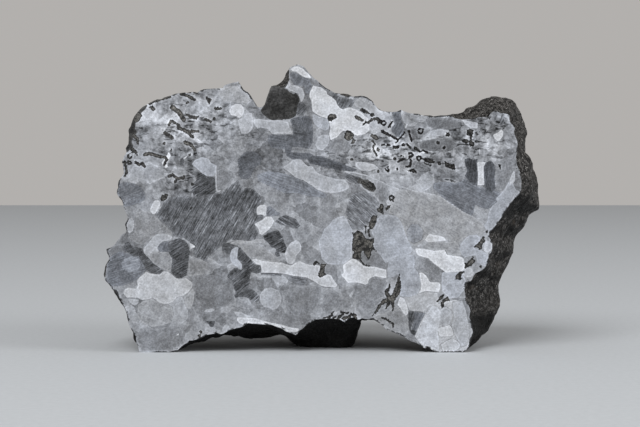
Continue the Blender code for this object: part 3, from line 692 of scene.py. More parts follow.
# The grains in layers, each over the ones before it. A layer has a grey level on a screen, 0 to 255, how
# blue it is and how strongly brushed. A grain has its own level, its brush marks' angle and its outline.
LAYERS = (
    ("steel", 106, 0.046, 0.4, (
        # left lobe
        (110, 20, ((-53.6, 17.6), (-53.3, 22.4), (-52.2, 24.4), (-50, 25.4), (-47.8, 24.8), (-45.2, 24.2),
         (-44.4, 22.6), (-43.4, 20.8), (-44.6, 19.6), (-46, 18.2), (-49, 16.9), (-52.4, 16.6))),
        (148, 20, ((-49.6, 22.4), (-48.8, 23.6), (-47, 24), (-45.4, 23.4), (-45, 22), (-46, 20.6),
         (-47.6, 20.2), (-49.2, 21))),
        (104, 70, ((-40.8, 26.3), (-39.8, 27.7), (-37.9, 28), (-37.7, 25.4), (-39, 25.2), (-40.2, 25.4))),
        # lower middle
        (106, 60, ((-4.9, 13.6), (-4.4, 14.5), (-3.5, 14.3), (-3.2, 13.2), (-3.4, 12.2), (-4.3, 12),
         (-4.9, 12.6))),
        # left edge and upper left
        (116, 25, ((-50.6, 42.2), (-48.8, 42.8), (-46.4, 42.4), (-44.6, 41.4), (-43.8, 40), (-43.6, 38.6),
         (-45, 37.6), (-47.6, 36.8), (-49, 36.6), (-49.4, 38), (-50.6, 39.6))),
        (116, 40, ((-13.3, 36.4), (-12.6, 36.9), (-11.8, 36.3), (-10.8, 35.4), (-9.8, 34.9),
         (-10.4, 34.3), (-13.4, 34.2))),
        (114, 15, ((-10.8, 41.6), (-8.8, 42), (-6, 41.8), (-4.2, 41.2), (-4.6, 40.4), (-7, 40),
         (-9.2, 40.1))),
        # mottled, round the nodule and below it
        (96, -10, ((-7.5, 58.4), (-5, 59.2), (-2.1, 58.4), (-1.7, 55.5), (-1.9, 52.6), (-2.9, 50.9),
         (-5.8, 50.5), (-8.8, 50.9), (-12.1, 51.3), (-13.1, 53), (-12.9, 54.6), (-6.7, 54.6),
         (-6.9, 56.7))),
        (88, -15, ((-8.8, 50.9), (-6.7, 51.5), (-3.8, 50.7), (-1.7, 49.6), (-3.5, 48.4), (-6.7, 48.4),
         (-8.3, 49.2))),
        (78, -15, ((-3.5, 48.8), (-1.7, 49.4), (0.4, 49.2), (2.5, 48.4), (4.6, 47.8), (6.7, 46.9),
         (9.4, 45.7), (7.5, 45.4), (5.8, 45.7), (4.2, 45.8), (2.1, 46.3), (-0.4, 46.9), (-2.5, 47.5))),
        (124, -20, ((-15.8, 44.6), (-12.9, 45.5), (-9.2, 45), (-5.8, 44), (-3.3, 42.6), (-0.8, 40.9),
         (1.7, 39.6), (1.2, 38.8), (-2.5, 39.2), (-5.8, 40), (-8.8, 40), (-10.8, 40.9), (-13.3, 42.1),
         (-15.4, 43))),
        (94, 30, ((-20.6, 48.2), (-19.6, 49.4), (-18.4, 50.4), (-16.4, 50.4), (-15.2, 49.6),
         (-14.4, 48.6), (-14.8, 47.4), (-16.2, 46.4), (-16.8, 45.6), (-17.2, 44), (-18.4, 43.4),
         (-19.6, 43.6), (-20.4, 44.6), (-20.2, 46))),
        # top
        (114, 65, ((-7.6, 69.8), (-6.6, 70.2), (-5.6, 69.8), (-4.4, 69), (-3, 68.4), (-2.4, 68.2),
         (-2.3, 67.4), (-1.8, 66.8), (-2.4, 65.6), (-2.9, 64.6), (-3.6, 65), (-3.9, 66.6), (-5, 66.8),
         (-6.4, 67), (-7, 67.8), (-7.4, 68.8))),
        (100, 70, ((-4.9, 59), (-3.4, 59.4), (-2.2, 58.6), (-1.9, 56.8), (-2.2, 55.6), (-4, 55.2),
         (-5.2, 56.4))),
        (96, 65, ((18, 60.2), (20.2, 60.4), (20.2, 58), (20.8, 57.2), (21.1, 55.5), (20.2, 53.8),
         (19.2, 54.2), (18, 55.2), (17.8, 56.2), (18.6, 57.2), (18.3, 59))),
        # right
        (114, -25, ((28.4, 42.6), (31, 42.8), (34, 42.5), (36.2, 43.6), (38, 42.4), (39.6, 41.6),
         (41.4, 41.2), (43.8, 40.5), (45.4, 40), (43.9, 38.6), (44.4, 37.9), (43, 36.9), (42, 36),
         (40.2, 36.4), (38.7, 37.2), (38.4, 35), (38, 34.3), (36, 35), (34, 36.4), (32.2, 37.6),
         (30.3, 39.3), (29, 40.6), (28.2, 41.4))),
        (106, 70, ((23.7, 10.2), (26.4, 9.8), (25.8, 8.8), (25.2, 7.6), (24.6, 6.4), (24, 5.6), (23.5, 5),
         (23, 6), (23.6, 8.2))),
        # beside the white bar at the right
        (68, 80, ((36, 48.4), (37.1, 48.8), (38.2, 48.3), (39.3, 48.6), (39.3, 46.5), (39.4, 43.5),
         (39.2, 41.9), (38.2, 42.3), (37.2, 43.2), (36.2, 44.3), (36.8, 45.6), (36.4, 46.8))),
        (76, 80, ((40.8, 48.2), (41.6, 47.7), (42.6, 48.2), (43.4, 47.4), (43.6, 46), (43.7, 43.5),
         (43.8, 41), (42.8, 40.4), (41.8, 40.8), (41, 42.2), (40.9, 44.8))),
    )),
    ("grey", 133, 0.028, 0.16, (
        # square, left of the dark grains at the lower middle
        (126, 35, ((-31.6, 19.2), (-29, 19.8), (-26, 19.4), (-23.6, 18.4), (-22.2, 18), (-21.8, 16.2),
         (-21.6, 13.4), (-23, 11.8), (-26, 11), (-29, 11.4), (-31.2, 12.8), (-31.6, 16))),
        # left foot
        (132, 30, ((-46.4, 5.2), (-44.6, 6.2), (-41.4, 5.8), (-38, 6.6), (-35.6, 6.4), (-34.4, 4.6),
         (-35.2, 1.8), (-38.2, 0.6), (-44.6, 0.6), (-45.8, 2.8))),
        # under the white lamella
        (134, 80, ((-7.4, 17.2), (-3.4, 16.4), (-0.6, 16.4), (0.4, 15.2), (0, 12.6), (-1.2, 10.4),
         (-3.8, 9), (-6.4, 9), (-8.2, 11), (-8.6, 14.4))),
        (140, 60, ((0.8, 15.8), (3.2, 15.8), (5.2, 14.6), (5.6, 12.4), (4.2, 10.4), (1.6, 9.8),
         (0.4, 11.4), (0.8, 13.4))),
        (133, 25, ((9, 15.8), (9.4, 17.4), (11.4, 16.8), (12.1, 17.8), (12.8, 18.7), (14, 19.1),
         (16, 18.7), (16.8, 17.6), (16.4, 16.4), (16.2, 14.6), (15.8, 13.2), (14.6, 11.8), (13.2, 10.6),
         (11.6, 10.6), (10.2, 12), (9, 13.8))),
        (127, 20, ((10, 23.3), (11.2, 24.4), (12.5, 24.8), (13.3, 26), (14.4, 25), (15.2, 24),
         (15.8, 22.6), (17.2, 22.7), (17, 21), (14, 21.6), (11.2, 21.9))),
        # right
        (138, -40, ((24.6, 24.3), (27, 23.9), (28, 22.9), (29.5, 21.8), (30.5, 20.7), (30.6, 19.8),
         (31, 18.9), (30.4, 17.8), (27.6, 17.8), (27.2, 18.8), (26.5, 19.8), (25.4, 20.2), (24.4, 20.4),
         (23.7, 21.5), (24, 23))),
        (130, 80, ((43.8, 47), (44.6, 48), (46.8, 48.6), (48.4, 47.6), (48.3, 46.2), (47.6, 44),
         (46.8, 42.4), (45.8, 40.6), (44.2, 40.8), (43.8, 43.5))),
        (134, 60, ((14.2, 40.8), (15, 41.8), (16.6, 41.6), (17.4, 40.4), (17.4, 39.2), (16.6, 38),
         (16, 36.5), (15.4, 37.4), (14.8, 38.2), (13.8, 39.4))),
        # top right
        (110, 40, ((26.4, 58.4), (28.6, 58.8), (32.2, 58.6), (34.8, 57.6), (35.2, 56.4), (32.6, 56),
         (29.4, 55.8), (27, 56.6))),
        (106, 15, ((24.6, 52.8), (28.6, 53.6), (33, 53.4), (34.4, 52), (32.6, 50.8), (28.4, 50.4),
         (25.2, 50.8))),
        # centre
        (127, 20, ((-25.8, 46.6), (-24, 46.4), (-22.4, 45.4), (-21.4, 44), (-22.6, 42.4), (-24, 41.2),
         (-25.4, 40.8))),
        (124, 10, ((-7, 51.6), (-4.8, 51.5), (-2.2, 50.8), (-1.8, 50.1), (-4.6, 50), (-7.2, 50.2))),
        (134, 60, ((2.4, 53), (4.2, 53.9), (5.4, 55.2), (6.2, 55), (6.1, 54), (7.2, 53.1), (8, 52.4),
         (7.8, 51.2), (6.2, 50.2), (5.2, 49.8), (2.6, 50.2), (1.3, 50.8), (1.4, 51.6), (2.2, 52.1))),
    )),
    ("silver", 157, 0.022, 0.16, (
        # lower left
        (153, -20, ((-45.6, 12), (-45.8, 9.8), (-45.6, 8.3), (-44, 7.1), (-42, 6.4), (-39.5, 6.8),
         (-37.3, 7.6), (-36.8, 9.5), (-37, 11.2), (-38, 12.2), (-40.5, 12.8), (-42, 13.6),
         (-44.2, 13.1))),
        (147, 35, ((-41.6, 25.3), (-39.8, 25.3), (-38.1, 25.2), (-37.3, 24.2), (-37, 23), (-37.2, 21),
         (-37.6, 20.2), (-39, 20.7), (-39.8, 21.4), (-41.4, 22.4), (-42.4, 23.7), (-42.4, 24.8))),
        (145, 45, ((-33.2, 19.2), (-32.8, 23), (-31, 23.4), (-28.6, 23.2), (-28, 21.8), (-28.4, 19.8),
         (-31, 19.3))),
        (141, 30, ((-46.4, 30.2), (-46.4, 33), (-45.8, 35.2), (-44.4, 35.7), (-42.6, 35.4), (-41.2, 34.2),
         (-39.6, 32.6), (-38.4, 31.6), (-37.4, 30.4), (-36.9, 29.2), (-40, 29.8), (-42, 28.8),
         (-44.2, 27), (-46, 27.4), (-48, 29))),
        (160, 80, ((-34.2, 13.8), (-33, 14.8), (-32, 16.4), (-31.4, 15.2), (-31.6, 13), (-32.4, 10.8),
         (-33.4, 11.2))),
        # lower middle
        (151, -35, ((-19, 26.9), (-17.5, 27.6), (-15.5, 27), (-13.5, 26), (-11.8, 24.8), (-10.5, 23.6),
         (-9.6, 22.8), (-12.5, 22.8), (-15, 23.2), (-17, 23.7), (-18.3, 24.6), (-19.5, 26))),
        (161, 0, ((-22.8, 27.4), (-20.4, 28.4), (-17, 28.4), (-14.2, 28.6), (-13.4, 27.6), (-15.6, 27.4),
         (-18.4, 27.8), (-20.8, 26.9))),
        (147, 30, ((14.2, 9.8), (15.5, 9.8), (17.2, 10.6), (18.6, 11.5), (19.4, 11.6), (20.4, 10.6),
         (21.7, 9.2), (22.2, 8), (22.4, 5.6), (21.6, 4.2), (19, 5), (16.8, 6), (14.6, 7.8), (13.2, 8.6))),
        # right
        (152, -10, ((25.8, 26.4), (27.2, 27.6), (30, 27.9), (33.2, 27.8), (34.6, 27.3), (35.2, 26),
         (35.5, 24.5), (34, 24.2), (32, 24.6), (31.4, 25.8), (28.4, 25.7))),
        (179, 50, ((20.8, 13.6), (22.4, 15), (24.6, 14.8), (26.8, 15.2), (29.4, 15), (29.8, 13),
         (29.4, 11.6), (27.4, 11.8), (26.6, 10.2), (24.2, 10.4), (22.4, 10.6), (21.6, 12.6))),
        (158, -30, ((18.6, 39.8), (20, 41), (27.5, 39.9), (30, 39.2), (33, 37.2), (36, 35.2), (38.6, 34),
         (40.8, 32.2), (41.4, 30.4), (40.4, 29.4), (36, 28.8), (34.5, 27.4), (31.4, 28.4), (27.5, 30),
         (26.2, 28.4), (24, 26.6), (22.4, 27.6), (21.2, 30.6), (20, 33.4), (18.6, 34.6), (17, 34.9),
         (17.6, 37))),
        # top
        (160, 20, ((-25, 66), (-22.4, 66.8), (-20.2, 66.6), (-18.6, 65), (-17.2, 63.4), (-18.4, 62.4),
         (-21.4, 62.6), (-24, 63), (-25.4, 64.4))),
        (156, -30, ((8.4, 62.6), (9.6, 63.8), (11.4, 63.6), (13, 62.2), (14, 60.8), (13.4, 59.6),
         (12.2, 60.4), (10.4, 61), (8.8, 61.4))),
        # the right foot, under its own grains
        (195, 20, ((23.8, 4), (25, 7), (26.4, 9.6), (28.2, 12), (30.2, 12.2), (31.4, 13), (34, 13.2),
         (36, 12.4), (36.8, 9.6), (37.4, 6), (37.4, 2), (36, -0.5), (29, -0.5), (26, 1.2))),
    )),
    ("dark", 83, 0.034, 0.9, (
        # left
        (71, 30, ((-49.3, 25.6), (-48.8, 27.5), (-48, 27.8), (-46.8, 26.6), (-44.6, 26.2), (-44.1, 25.2),
         (-44.8, 24.3), (-46.8, 24.3), (-48, 25))),
        (85, 30, ((-45.6, 24.8), (-44.2, 25), (-42.7, 23.6), (-41.7, 22.4), (-40.4, 21.5), (-39.3, 20.5),
         (-39.8, 19.8), (-41, 19.8), (-42.6, 20.1), (-43.5, 20.8), (-44, 21.6), (-44.6, 22.9))),
        (81, 30, ((-38, 27.8), (-36.5, 28.4), (-35, 28.6), (-33.8, 28.2), (-33, 27.1), (-32.6, 25.5),
         (-32.9, 23.5), (-33.2, 21), (-33.5, 19.3), (-34.8, 18.7), (-36.2, 19.2), (-37.2, 20.1),
         (-37.2, 21.5), (-37, 23.5), (-37.8, 25.2))),
        # the large brushed grain, darker in its upper left part
        (103, 60, ((-40.9, 34.4), (-40.2, 35.8), (-39.4, 37), (-38.4, 38.2), (-37.2, 39), (-35, 39.4),
         (-31, 39), (-29, 39.6), (-27, 40.2), (-25.2, 39.8), (-24, 40.5), (-22.6, 41.8), (-21.4, 42.6),
         (-20.4, 43.4), (-19.4, 41), (-18.2, 41.4), (-16.8, 41), (-15.6, 40), (-14.8, 38.8),
         (-14.6, 37.4), (-15.6, 36.8), (-16, 35.6), (-15.8, 34.6), (-14.2, 34.6), (-14.2, 33.6),
         (-16.4, 32.4), (-16, 31), (-15.4, 29.8), (-16.2, 28.4), (-17.6, 28), (-20.5, 28.2),
         (-22.4, 28.4), (-24, 27.4), (-26, 25.8), (-28, 24), (-28.4, 22.8), (-31, 24), (-32.6, 27.8),
         (-34, 28.8), (-36.8, 29.2), (-37, 30.4), (-38.2, 32), (-39.6, 32.8))),
        (92, 60, ((-40.4, 34.6), (-38.6, 37.4), (-35.6, 38.8), (-31, 38.4), (-29.2, 36.2), (-30.4, 33),
         (-32.4, 30), (-35, 29.6), (-36.8, 31), (-38.6, 33))),
        (85, 60, ((-27, 37.4), (-25.8, 39.4), (-22.8, 41.2), (-20.6, 42.6), (-19.6, 40.6), (-16.8, 40.4),
         (-15.2, 38.6), (-16.4, 36.4), (-19.6, 35.4), (-23.6, 35.8))),
        (75, 30, ((-30.6, 45.2), (-29.4, 45), (-28.2, 44.2), (-26.6, 44), (-26.1, 43.2), (-26, 41.2),
         (-26.2, 40.2), (-27.2, 39.8), (-28.6, 39.6), (-30.4, 39), (-31.6, 39.4), (-32.2, 40.8),
         (-31.4, 42.6), (-30.6, 43.8))),
        (69, 30, ((-35, 48.4), (-34.4, 49), (-33.9, 48), (-34.2, 46.8), (-34.8, 47))),
        # lower middle
        (89, 15, ((-24.6, 27.2), (-23, 27.6), (-21.4, 27), (-21.6, 25.4), (-23, 24.8), (-24.4, 25.6))),
        (85, 40, ((-20.6, 26.5), (-19.8, 26.4), (-19.2, 25.4), (-18.3, 24.4), (-17.4, 23.6),
         (-16.8, 22.6), (-16, 22.1), (-15, 22), (-14.7, 21.2), (-14.8, 20.1), (-16, 19.8), (-17.3, 20.2),
         (-17.5, 19.2), (-17.7, 18.2), (-17.5, 17.3), (-18.2, 16.9), (-17.8, 16.2), (-16.8, 15.8),
         (-15.9, 15), (-15.2, 14), (-15.3, 13), (-16, 12.6), (-17.3, 13.2), (-18.4, 13.8), (-19.6, 14),
         (-21.2, 13.8), (-21.5, 14.3), (-21.1, 15.3), (-21.6, 16.3), (-21.9, 18), (-22.8, 18.6),
         (-23.4, 19.2), (-22.8, 20), (-22, 20.9), (-21.3, 21.3), (-20.4, 21), (-19.6, 20.6), (-19.5, 22),
         (-20.2, 23), (-20.7, 23.6), (-20.6, 25))),
        (93, 0, ((-14.8, 20), (-12.2, 20), (-9.6, 19.8), (-9.7, 19.1), (-12.6, 19.4), (-14.7, 19.6))),
        (109, -10, ((-7.9, 19.4), (-5, 19), (-3.2, 18.4), (-4.1, 16.8), (-7, 17.6), (-7.9, 18.1))),
        (69, 25, ((-14.2, 29.2), (-13, 30), (-11.5, 30.5), (-10.3, 30.6), (-9.4, 29.2), (-9, 27.8),
         (-8.2, 26), (-8.7, 25), (-10.2, 25.2), (-10, 24.3), (-10.8, 24), (-11.3, 24.9), (-10.9, 25.8),
         (-12.2, 26.6), (-13, 27.6), (-13.8, 28.3))),
        (92, -30, ((-10.8, 33.4), (-9.9, 34.1), (-8.8, 34.5), (-7.2, 34), (-6, 33.5), (-5.3, 32.4),
         (-4.9, 31.8), (-5.8, 31.1), (-6.6, 31.2), (-8.2, 31.7), (-9.8, 32.2), (-11.2, 32.7))),
        (67, 50, ((-29, 8.2), (-27.6, 7.9), (-26.3, 7.9), (-26.6, 6.6), (-27.4, 6.3), (-28, 7.2))),
        # centre and top
        (95, -30, ((5.8, 45), (7.2, 44.8), (8.6, 44.3), (10.2, 43.9), (9.6, 42), (8.8, 42.3), (7.2, 43),
         (6.3, 43.8))),
        (89, 60, ((1.5, 64.9), (2.6, 64.3), (3.2, 64.9), (4.2, 64.6), (5, 63.9), (6.5, 63.8), (8.2, 63.4),
         (8.6, 62.6), (8, 61.6), (6.8, 61.4), (5.6, 60.9), (4.8, 61.4), (4.2, 62.4), (3.5, 63.3),
         (2.4, 64.1))),
        (89, 45, ((-5.9, 62.2), (-4.6, 62.6), (-3.4, 61.8), (-3.4, 60.4), (-4.2, 59.4), (-5.4, 59.2),
         (-6, 60))),
        # right
        (73, 70, ((22.2, 10.5), (23.6, 10.2), (23.7, 8.6), (23, 6.6), (22.6, 5.6), (22.2, 6.6))),
        (67, 0, ((22.5, 5.6), (23.6, 5.6), (24.2, 5.2), (23.7, 4.3), (22.8, 4.8))),
        (89, 60, ((45.3, 60), (46, 59.5), (46, 58), (45.4, 56.6), (44.8, 57), (45, 58.4))),
        (119, -40, ((8.4, 39.9), (10.8, 40.6), (12.6, 39.8), (14.2, 38.6), (14.8, 37.2), (14, 36.2),
         (14.6, 35.6), (14.2, 34.6), (13.2, 34.4), (12.6, 33.2), (11.8, 31.8), (10.6, 30.8), (8.2, 30.9),
         (7.4, 32.2), (6.8, 33.8), (6.3, 35), (6.9, 37), (7.6, 38.8))),
    )),
    ("blue", 174, 0.038, 0.1, (
        # the three large ovals
        (176, 0, ((5.6, 34.3), (6.2, 34.2), (6.9, 33), (7.6, 31.6), (8.2, 30.6), (8.3, 29.5), (8, 27),
         (8, 23.9), (7, 23), (6, 22.2), (3, 22), (1.8, 22.3), (0.5, 23.5), (-0.2, 26.5), (-0.4, 28),
         (0.5, 29.5), (1, 31), (2.4, 32.2), (3.2, 33.3), (4.4, 34))),
        (166, 0, ((14, 33), (15, 34.4), (17, 34.7), (19, 34.3), (20, 33.4), (20.8, 31.8), (21.3, 30),
         (22, 28.3), (22.8, 26.8), (23.3, 25.6), (22.5, 24.8), (20.5, 24.2), (19, 24), (18, 23.4),
         (17.2, 22.8), (16.4, 22.4), (15.8, 23.3), (15.2, 24.4), (14.4, 25.2), (13.5, 26), (13.2, 27.2),
         (13.6, 28.8), (12.8, 30), (13.6, 31.3))),
        (166, 0, ((17.2, 22.8), (18.2, 23.6), (20, 24.1), (22.3, 24.6), (23.6, 24.4), (23.8, 23),
         (23.6, 21.4), (24.4, 20.3), (25, 19), (25.2, 17.4), (25, 15.8), (24.3, 14.6), (22.7, 14),
         (20.8, 14), (20, 14.3), (19.9, 16), (20, 18), (19.6, 19.6), (17.8, 18.8), (17, 18.6),
         (16.8, 20.8))),
        # the rest
        (143, 0, ((21.8, 30.6), (22, 28.4), (23.6, 27.4), (25.5, 28.4), (25.8, 30.6), (24.6, 32.2),
         (22.8, 32.2))),
        (179, 80, ((-21, 26.6), (-20.4, 26.4), (-20.6, 25), (-20.7, 23.5), (-20.2, 23), (-19.6, 22.2),
         (-19.5, 21.3), (-19.9, 20.8), (-20.6, 21.4), (-21.6, 22), (-22.4, 23), (-22.6, 24.6),
         (-22.2, 25.8))),
        (169, 30, ((34.8, 26.2), (35.4, 27.6), (36.4, 28.8), (37.5, 29.5), (39.2, 29.7), (40.2, 29),
         (40, 28), (38.8, 26.8), (38.6, 26.2), (40, 25.7), (41, 25.4), (42, 24.6), (42, 22.5),
         (41.2, 21.6), (39.4, 22.6), (38.9, 24.4), (37.5, 24.2), (36.2, 23.8), (35.6, 24.4))),
        (165, 60, ((48.5, 45.8), (48.8, 44.6), (48.7, 43.2), (48.3, 42.4), (48.9, 41), (49.9, 40.4),
         (49.6, 39.4), (48.6, 38.8), (47.9, 38), (47, 36.6), (46, 35), (45, 33.6), (44.2, 32.2),
         (43.2, 31), (42.4, 30.5), (41.4, 31), (41, 32), (41.8, 33), (42, 34.4), (42.4, 35.8), (43, 36.8),
         (44.4, 37.9), (43.8, 38.6), (44.8, 39.6), (45.8, 40.6), (46.6, 42), (47.3, 43.1), (47.8, 44.6))),
        (179, 30, ((30.6, 20.2), (33, 20.2), (35.6, 20.2), (36.6, 18), (36, 15.6), (34.6, 13.8),
         (32.4, 13.6), (30.6, 15.4), (30.4, 17.6))),
        (167, 60, ((-1.8, 59.8), (0.2, 59), (2, 58.4), (2.4, 57.2), (2.2, 56), (1.2, 55.6), (0, 56.2),
         (-1.4, 57.2), (-1.9, 58.4))),
        (165, 30, ((-31.4, 48.2), (-29.5, 49), (-27.8, 48.6), (-27.2, 47.6), (-25.8, 46.9), (-26, 45.2),
         (-26.6, 44.2), (-28.2, 44.2), (-29.6, 45), (-30.8, 46.2), (-32, 47.2))),
    )),
    ("pale", 180, 0.028, 0.06, (
        # lower left
        (176, 0, ((-48.2, 13.6), (-47.5, 12.4), (-46.5, 11.8), (-45.6, 12.3), (-45.4, 13.3))),
        (170, 60, ((-38, 12), (-36.9, 11.4), (-36.6, 10), (-36.6, 8.9), (-35.9, 7.7), (-34.8, 7.2),
         (-33.6, 7.9), (-33, 9.2), (-33.1, 10.6), (-33.8, 11.9), (-34.2, 13.5), (-35, 14.2),
         (-36.3, 13.4))),
        (170, 15, ((-29.4, 10.2), (-28.4, 10.9), (-27.2, 11.1), (-26.2, 11), (-26.6, 10.4), (-28, 10.1))),
        (174, 45, ((-44.2, 26.2), (-43, 27.5), (-41.9, 28.9), (-40.8, 29.7), (-39.3, 29.9), (-37.8, 29.6),
         (-36.9, 29), (-37.4, 28.2), (-39.2, 28), (-40.2, 27.2), (-40.8, 26.1), (-41.7, 25.6),
         (-42.3, 24.9), (-43.4, 24.2), (-44.1, 25.2))),
        (172, 0, ((-30, 5.2), (-28.6, 5.4), (-27, 5.2), (-26, 4.8), (-27, 4.6), (-28.8, 4.6))),
        (172, 80, ((-48.6, 32), (-48.3, 30.4), (-47.6, 29.9), (-46.8, 30.4), (-46.5, 31.8), (-46.5, 33),
         (-47, 34), (-47.6, 33.6))),
        (154, 0, ((-46.8, 46.8), (-44.4, 47.2), (-41.6, 46.8), (-39.2, 46), (-38.8, 44.4), (-40.6, 43.4),
         (-43.6, 43.2), (-46.2, 43.8), (-47.6, 45.2))),
        (168, 0, ((-41.8, 39.2), (-40.8, 39.6), (-40, 38.9), (-40.6, 38.3), (-41.4, 38.6))),
        # lower middle
        (176, 0, ((-21.7, 10.3), (-19.8, 10.2), (-18.2, 9.4), (-16.3, 8.9), (-20.2, 8.9), (-21, 9.3))),
        (188, 60, ((-8.6, 23.5), (-8.8, 24.8), (-8.2, 26.4), (-7.3, 27.6), (-6, 28.3), (-5.2, 27.8),
         (-4.6, 26.7), (-4.8, 25.6), (-6, 24.2), (-6.3, 22.8), (-7.2, 22.1), (-8.2, 22.5))),
        (168, 0, ((-14.9, 12.4), (-15.1, 14.4), (-14, 16.1), (-12.2, 16.4), (-10.4, 15.6), (-9.6, 14),
         (-9.9, 12.2), (-10.9, 11), (-11.8, 10.6), (-12.8, 11.2), (-14, 11.4))),
        (178, 60, ((7.2, 14.3), (8.2, 15.6), (8.5, 15), (7.8, 13.7))),
        # centre
        (175, -20, ((-9.4, 46.6), (-8, 47.2), (-7, 48.2), (-5.9, 48.5), (-4.8, 48.4), (-3.8, 47.4),
         (-3, 46.7), (-2.3, 46.8), (-1.6, 46.4), (-1.2, 45.6), (-0.2, 44.9), (1.6, 44.2), (3.8, 43.6),
         (6, 43.4), (7, 42.6), (7.4, 41.2), (5.6, 40.4), (3.2, 40), (1.4, 40.2), (-0.9, 41), (-2.4, 42.2),
         (-4.2, 43.2), (-6.2, 43.9), (-7.4, 45), (-8.8, 46))),
        (190, 0, ((8.8, 47.8), (11, 47.8), (13.6, 47.2), (14.6, 46.2), (12.4, 45.6), (10.2, 45.6),
         (8.9, 46.6))),
        # top
        (176, 10, ((-13, 58.2), (-10.5, 58.3), (-8, 57.8), (-7.6, 56.6), (-6.9, 55.2), (-7, 54.8),
         (-12, 54.8), (-13, 56), (-15, 56.4), (-15.6, 56), (-16.4, 57.2), (-16.6, 58.2), (-15.4, 58.6))),
        (178, 0, ((-20.6, 58.2), (-18.8, 59.2), (-18.4, 60.2), (-17, 60), (-16.6, 58), (-16.8, 56),
         (-18, 54.8), (-19.6, 54.9), (-20.2, 56.6))),
        (174, 50, ((-8.6, 67.2), (-7.8, 68.2), (-7.2, 67), (-6, 66.8), (-4.4, 66.2), (-3.8, 64.6),
         (-4.2, 63.2), (-4.8, 62.4), (-5, 63.6), (-5.4, 64.8), (-6.6, 65.2), (-7.6, 65.6), (-8.4, 66.2))),
        (172, 0, ((-1.2, 52), (-0.6, 54), (0.6, 54.6), (2.2, 54.6), (2.4, 53.2), (2, 51.9), (0.6, 50.6),
         (-0.6, 50.9))),
        # right
        (176, 0, ((35.2, 58.3), (37, 58), (39.4, 57.6), (39.3, 56.1), (37.5, 56.3), (36.4, 57))),
        (168, 10, ((27, 55.4), (29.6, 56), (32.2, 55.8), (32, 54.6), (29.4, 54.2), (27.4, 54.4))),
        (182, 50, ((35.6, 20.8), (36.6, 21.4), (38, 21.2), (38.6, 20), (38, 18.9), (36.6, 18.9),
         (35.7, 19.6))),
        (184, 50, ((41, 26.8), (41.5, 28), (42.6, 28), (43.2, 27.2), (43, 25.8), (42, 25), (41, 25.5))),
        (187, 60, ((48.5, 45.8), (48.8, 44.6), (48.7, 43.2), (48.3, 42.4), (47.4, 42.2), (47.3, 43.1),
         (47.8, 44.6))),
        (172, 50, ((30, 9.5), (30.2, 7), (31.5, 6.6), (32.6, 7.2), (33.2, 8.5), (33, 10.6), (31.4, 11.6),
         (30.2, 10.8))),
        (178, 60, ((33.2, 12.6), (35.6, 13), (36.4, 11), (36.9, 8.6), (37.6, 5.6), (37, 2), (35.6, 1.4),
         (34.6, 3), (33.6, 5), (33, 6.8), (33.6, 8.4), (33.4, 10.8))),
        (193, 60, ((24.2, 4), (26.2, 8.8), (27.2, 10.4), (28.2, 11.8), (29.6, 11.4), (30.2, 10),
         (30, 7.4), (29.6, 5.4), (29.8, 3.4), (29.9, 0.4), (27.8, 1), (26, 1.6))),
    )),
    ("white", 205, 0.022, 0.05, (
        # lower left
        (190, 0, ((-45.7, 17), (-45.8, 18.1), (-45.2, 18.9), (-44.6, 19.4), (-43.9, 19.9), (-43.6, 20.4),
         (-42.6, 19.9), (-41.5, 19.7), (-40.2, 19.6), (-39.3, 20.4), (-38.4, 20.4), (-37.5, 20),
         (-36.8, 19.3), (-36.2, 18.8), (-35.4, 18.5), (-33.6, 18.7), (-33, 18.3), (-32.2, 17.7),
         (-31.9, 17), (-32.1, 16.2), (-32.8, 15.4), (-33.6, 14.7), (-34.2, 14.3), (-35, 14.2),
         (-36, 13.8), (-36.4, 13.2), (-37, 12.6), (-38, 12.2), (-39.3, 12.2), (-40.5, 12.7),
         (-41.4, 13.4), (-42.1, 13.8), (-43, 13.4), (-44.3, 13.2), (-45.2, 13.4), (-45.8, 13.8),
         (-48.3, 13.8), (-49, 14.4), (-49.3, 15.1), (-48.9, 15.9), (-48, 16.3), (-46, 16))),
        (199, 0, ((-32.7, 27.7), (-31.6, 27), (-31, 26.6), (-32.4, 26))),
        (192, 40, ((-36.2, 4.1), (-35.9, 4.5), (-35.4, 4.8), (-35.4, 4.3))),
        # lower middle
        (197, 0, ((-17.1, 23.3), (-16.2, 23.6), (-14.5, 23.1), (-12, 22.8), (-9.5, 22.6), (-8.6, 22.2),
         (-7.2, 21.9), (-6, 22.6), (-5, 23), (-3.5, 22.2), (-1.5, 22), (0.2, 21.9), (-0.2, 20.4),
         (-0.3, 19.2), (0.2, 18.9), (1.2, 19.3), (2, 19.7), (2.8, 19.4), (3.6, 18), (4.4, 17), (4, 16.3),
         (2.8, 16.5), (1.6, 16.4), (0.3, 16.8), (-0.8, 17.4), (-1.8, 18.1), (-3.2, 18.8), (-5, 19.1),
         (-7, 19.4), (-9, 19.8), (-11, 20), (-14.6, 20.1), (-14.8, 21.9), (-16, 22.2))),
        (202, 0, ((-20.9, 8.2), (-20.7, 8.9), (-18.5, 8.8), (-16.2, 8.6), (-14.5, 8.1), (-12.8, 7.6),
         (-9.5, 7), (-7.5, 6.3), (-5.2, 6), (-5.6, 5.2), (-8.2, 5.2), (-9.2, 6), (-11, 6.6), (-12.6, 7),
         (-15.5, 7.3), (-18, 7.3), (-19.2, 6.9), (-20.3, 7.4))),
        (207, 0, ((5.7, 22), (6.6, 22.6), (7.5, 23.3), (8.3, 23.6), (9.3, 23.2), (10.2, 22.5), (11, 21.7),
         (12, 21.6), (13.5, 21.6), (15.5, 21.1), (16.6, 20.8), (16.7, 19.8), (16.6, 18.7), (15, 18.9),
         (13.8, 19.2), (12.8, 18.8), (12.2, 18.2), (12, 17.4), (11.4, 17), (10.3, 17.4), (9.4, 17.6),
